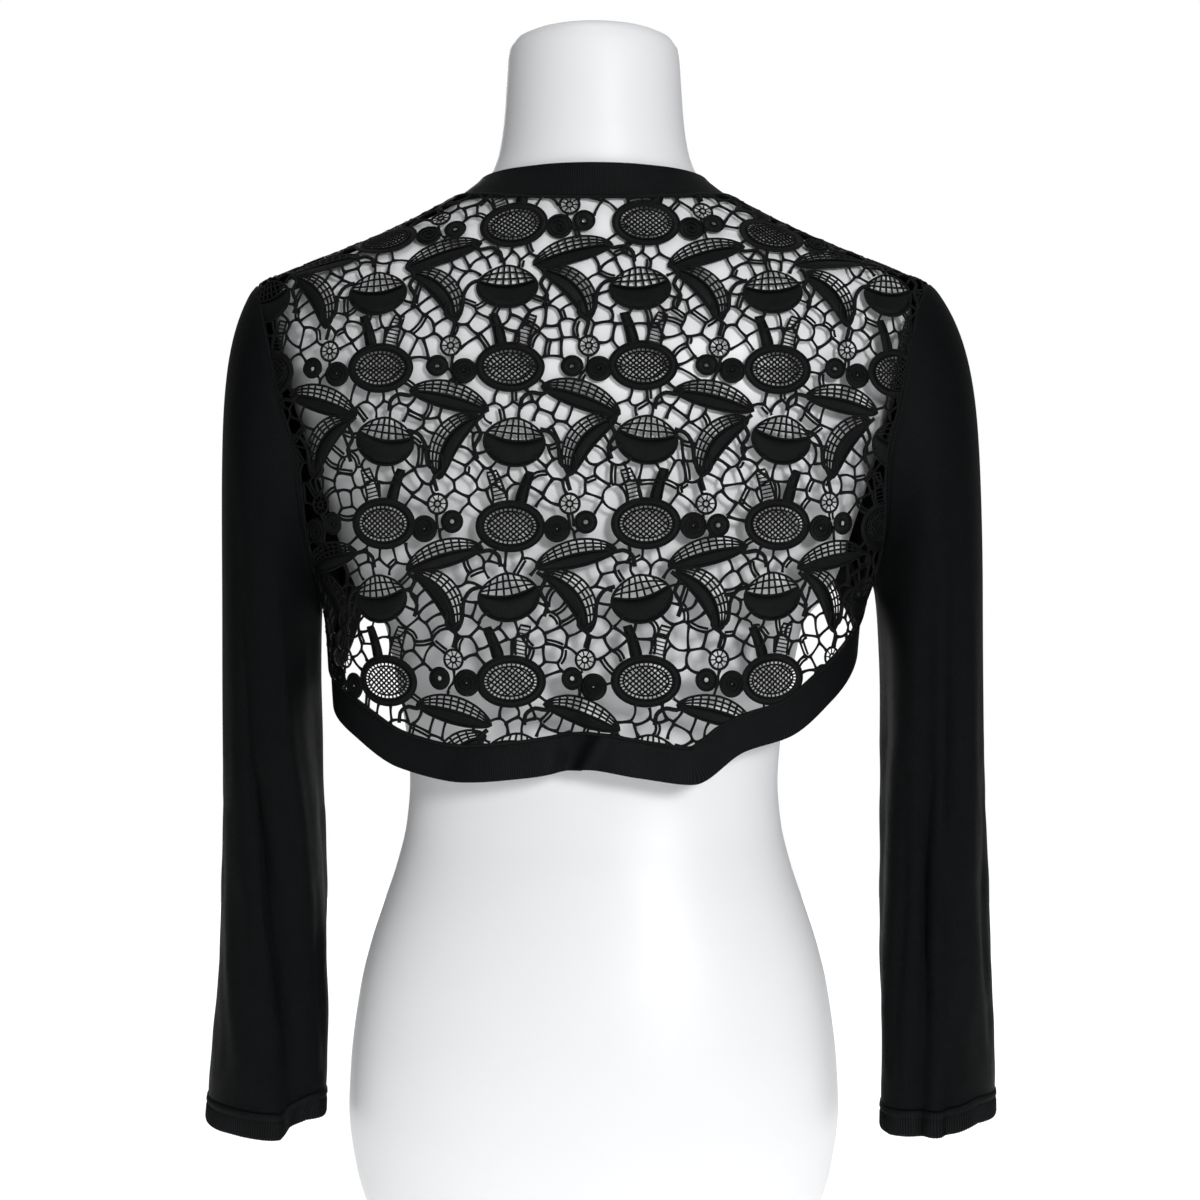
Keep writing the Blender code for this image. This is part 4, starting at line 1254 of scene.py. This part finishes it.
class Nodes:
    """A material's nodes, made and linked in short lines."""

    def __init__(self, name):
        self.material = bpy.data.materials.get(name) or bpy.data.materials.new(name)
        self.material.use_nodes = True
        self.tree = self.material.node_tree
        self.shader = self.tree.nodes["Principled BSDF"]

    def plain(self, **values):
        """Plain values for the shader's sockets. A space in a socket's name is written as _."""
        for key, value in values.items():
            self.shader.inputs[key.replace("_", " ")].default_value = value

    def add(self, kind, **settings):
        node = self.tree.nodes.new(kind)
        for key, value in settings.items():
            setattr(node, key, value)
        return node

    def link(self, source, target):
        self.tree.links.new(source, target)

    def calc(self, operation, a, b=0.0, c=None):
        """A Math node's result, from sockets or numbers."""
        node = self.add("ShaderNodeMath", operation=operation)
        for place, value in enumerate((a, b) if c is None else (a, b, c)):
            if isinstance(value, (int, float)):
                node.inputs[place].default_value = value
            else:
                self.link(value, node.inputs[place])
        return node.outputs[0]

    def noise(self, scale, detail=2.0):
        """Noise over the piece's own place, in metres."""
        place = self.add("ShaderNodeTexCoord").outputs["Object"]
        node = self.add("ShaderNodeTexNoise")
        node.inputs["Scale"].default_value = scale
        node.inputs["Detail"].default_value = detail
        self.link(place, node.inputs["Vector"])
        return node.outputs["Fac"]

    def between(self, factor, first, second, target):
        """A colour between two, by a factor, into one of the shader's sockets."""
        node = self.add("ShaderNodeMix", data_type="RGBA")
        self.link(factor, node.inputs["Factor"])
        node.inputs["A"].default_value = (*first, 1)
        node.inputs["B"].default_value = (*second, 1)
        self.link(node.outputs["Result"], self.shader.inputs[target])

    def spread(self, factor, low, high, target):
        """A number between two, by a factor, into one of the shader's sockets."""
        node = self.add("ShaderNodeMapRange")
        self.link(factor, node.inputs["Value"])
        node.inputs["To Min"].default_value = low
        node.inputs["To Max"].default_value = high
        self.link(node.outputs["Result"], self.shader.inputs[target])

    def bump(self, height, strength, distance):
        node = self.add("ShaderNodeBump")
        node.inputs["Strength"].default_value = strength
        node.inputs["Distance"].default_value = distance
        self.link(height, node.inputs["Height"])
        self.link(node.outputs["Normal"], self.shader.inputs["Normal"])

    def mesh_place(self):
        """The two lengths of the piece's own map."""
        node = self.add("ShaderNodeSeparateXYZ")
        self.link(self.add("ShaderNodeUVMap", uv_map="thread").outputs["UV"], node.inputs[0])
        return node.outputs["X"], node.outputs["Y"]


def fabric(nodes, first, second, rough, shine, sheen, tone=None):
    """The looks that all the yarns share. tone is a socket that picks between the two colours."""
    nodes.between(tone or nodes.noise(90, 4), first, second, "Base Color")
    nodes.spread(nodes.noise(260, 3), rough - 0.08, rough + 0.08, "Roughness")
    nodes.plain(Sheen_Weight=sheen, Sheen_Roughness=0.4, Specular_IOR_Level=shine)
    return nodes.material


def thread():
    """Twisted black lace thread. The wraps run round each cord and across each solid patch."""
    nodes = Nodes("lace_thread")
    u, v = nodes.mesh_place()
    along = nodes.calc("MULTIPLY", u, 2 * math.pi / WRAP)
    turned = nodes.calc("MULTIPLY", v, 2 * math.pi)
    wraps = nodes.calc("SINE", nodes.calc("ADD", along, turned))
    fuzz = nodes.calc("MULTIPLY", nodes.noise(900), 1.5)
    nodes.bump(nodes.calc("ADD", wraps, fuzz), 0.55, 0.00016)
    return fabric(nodes, *LACE_BLACK, *THREAD_FINISH)


def knit(name):
    """Fine knit: upright wales, each a column of slanted stitches."""
    wale, course, depth, colours, painted_wale_shade = KNITS[name]
    nodes = Nodes(name)
    u, v = nodes.mesh_place()
    ridge = nodes.calc("ABSOLUTE", nodes.calc("SINE", nodes.calc("MULTIPLY", u, math.pi / wale)))
    slant = nodes.calc("MULTIPLY_ADD", ridge, 1.6, nodes.calc("MULTIPLY", v, 2 * math.pi / course))
    height = nodes.calc("MULTIPLY_ADD", nodes.calc("SINE", slant), 0.35, ridge)
    fuzz = nodes.calc("MULTIPLY", nodes.noise(1400), 0.5)
    nodes.bump(nodes.calc("ADD", height, fuzz), 0.6, depth)
    # The ridge also picks the colour, as painted highlight and painted shade across the wales; the rest is
    # random mottle
    mottle = nodes.calc("MULTIPLY", nodes.noise(90, 4), 1 - painted_wale_shade)
    tone = nodes.calc("MULTIPLY_ADD", ridge, painted_wale_shade, mottle)
    return fabric(nodes, *colours, *KNIT_FINISH, tone)


def plastic():
    """The form's smooth white moulded shell."""
    nodes = Nodes("form_white")
    nodes.between(nodes.noise(7, 3), *FORM_WHITE, "Base Color")
    nodes.spread(nodes.noise(30, 3), 0.36, 0.46, "Roughness")
    nodes.bump(nodes.noise(420, 3), 0.08, 0.0002)
    nodes.plain(Specular_IOR_Level=0.45, Coat_Weight=0.08, Coat_Roughness=0.3)
    return nodes.material


# ---------------------------------------------------------------- stage, light and camera


def stage():
    """A round white floor that glows a little, so that it is as white as the studio."""
    nodes = Nodes("floor_white")
    nodes.plain(Base_Color=(0.9, 0.9, 0.9, 1), Roughness=0.9)
    nodes.plain(Emission_Color=(1, 1, 1, 1), Emission_Strength=0.6)
    data = bpy.data.meshes.new("floor")
    rim = [(FLOOR * math.cos(a), FLOOR * math.sin(a), 0) for a in circle(96)]
    data.from_pydata(rim, [], [list(range(len(rim)))])
    data.materials.append(nodes.material)
    floor = bpy.data.objects.new("floor", data)
    bpy.context.scene.collection.objects.link(floor)


def world():
    """A studio that the camera sees as white. Its light is dimmer, and dimmest from its two sides."""
    made = bpy.data.worlds.new("studio")
    bpy.context.scene.world = made
    made.use_nodes = True
    tree = made.node_tree
    tree.nodes.clear()

    def node(kind, **inputs):
        new = tree.nodes.new("ShaderNode" + kind)
        for key, value in inputs.items():
            new.inputs[key.replace("_", " ")].default_value = value
        return new

    place, split, out = node("TexCoord"), node("SeparateXYZ"), node("Math")
    out.operation = "ABSOLUTE"
    shade = node("MapRange", From_Min=0.3, From_Max=0.95, To_Min=STUDIO, To_Max=STUDIO * STUDIO_SIDE)
    dim = node("Background", Color=(0.99, 0.995, 1.0, 1))
    bright = node("Background", Color=(1, 1, 1, 1), Strength=1.0)
    mix, seen, output = node("MixShader"), node("LightPath"), node("OutputWorld")
    for source, target in (
        (place.outputs["Generated"], split.inputs[0]),
        (split.outputs["X"], out.inputs[0]),
        (out.outputs[0], shade.inputs["Value"]),
        (shade.outputs["Result"], dim.inputs["Strength"]),
        (seen.outputs["Is Camera Ray"], mix.inputs[0]),
        (dim.outputs[0], mix.inputs[1]),
        (bright.outputs[0], mix.inputs[2]),
        (mix.outputs[0], output.inputs["Surface"]),
    ):
        tree.links.new(source, target)


def lamp(name, place, aim, size, watts):
    data = bpy.data.lights.new(name, "AREA")
    data.shape, data.size, data.energy = "DISK", size, watts
    obj = bpy.data.objects.new(name, data)
    obj.location = place
    way = np.subtract(place, aim)
    flat = math.hypot(way[0], way[1])
    obj.rotation_euler = (math.atan2(flat, way[2]), 0, math.atan2(way[0], -way[1]))
    bpy.context.scene.collection.objects.link(obj)


def camera():
    """The camera looks level, from behind the wearer."""
    data = bpy.data.cameras.new("camera")
    data.lens = data.sensor_width / (2 * CAMERA_TAN)
    obj = bpy.data.objects.new("camera", data)
    obj.location = CAMERA
    obj.rotation_euler = (math.pi / 2, 0, math.pi)
    bpy.context.scene.collection.objects.link(obj)
    bpy.context.scene.camera = obj


def main():
    for obj in list(bpy.data.objects):
        bpy.data.objects.remove(obj)
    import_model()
    stage()
    world()
    for name, *light in LAMPS:
        lamp(name, *light)
    camera()
    bpy.context.scene.view_settings.view_transform = "Standard"

    dress_form()
    plain, ribbed = knit("plain_knit"), knit("rib_knit")
    for side, end in ((1, "left"), (-1, "right")):
        sleeve(side, end, plain)
        cuff(side, end, ribbed)
        front(side, "front_" + end, plain)
    band("front_band", 0, ribbed)
    band("hem_band", 1, ribbed)
    lace(lay_out())


main()
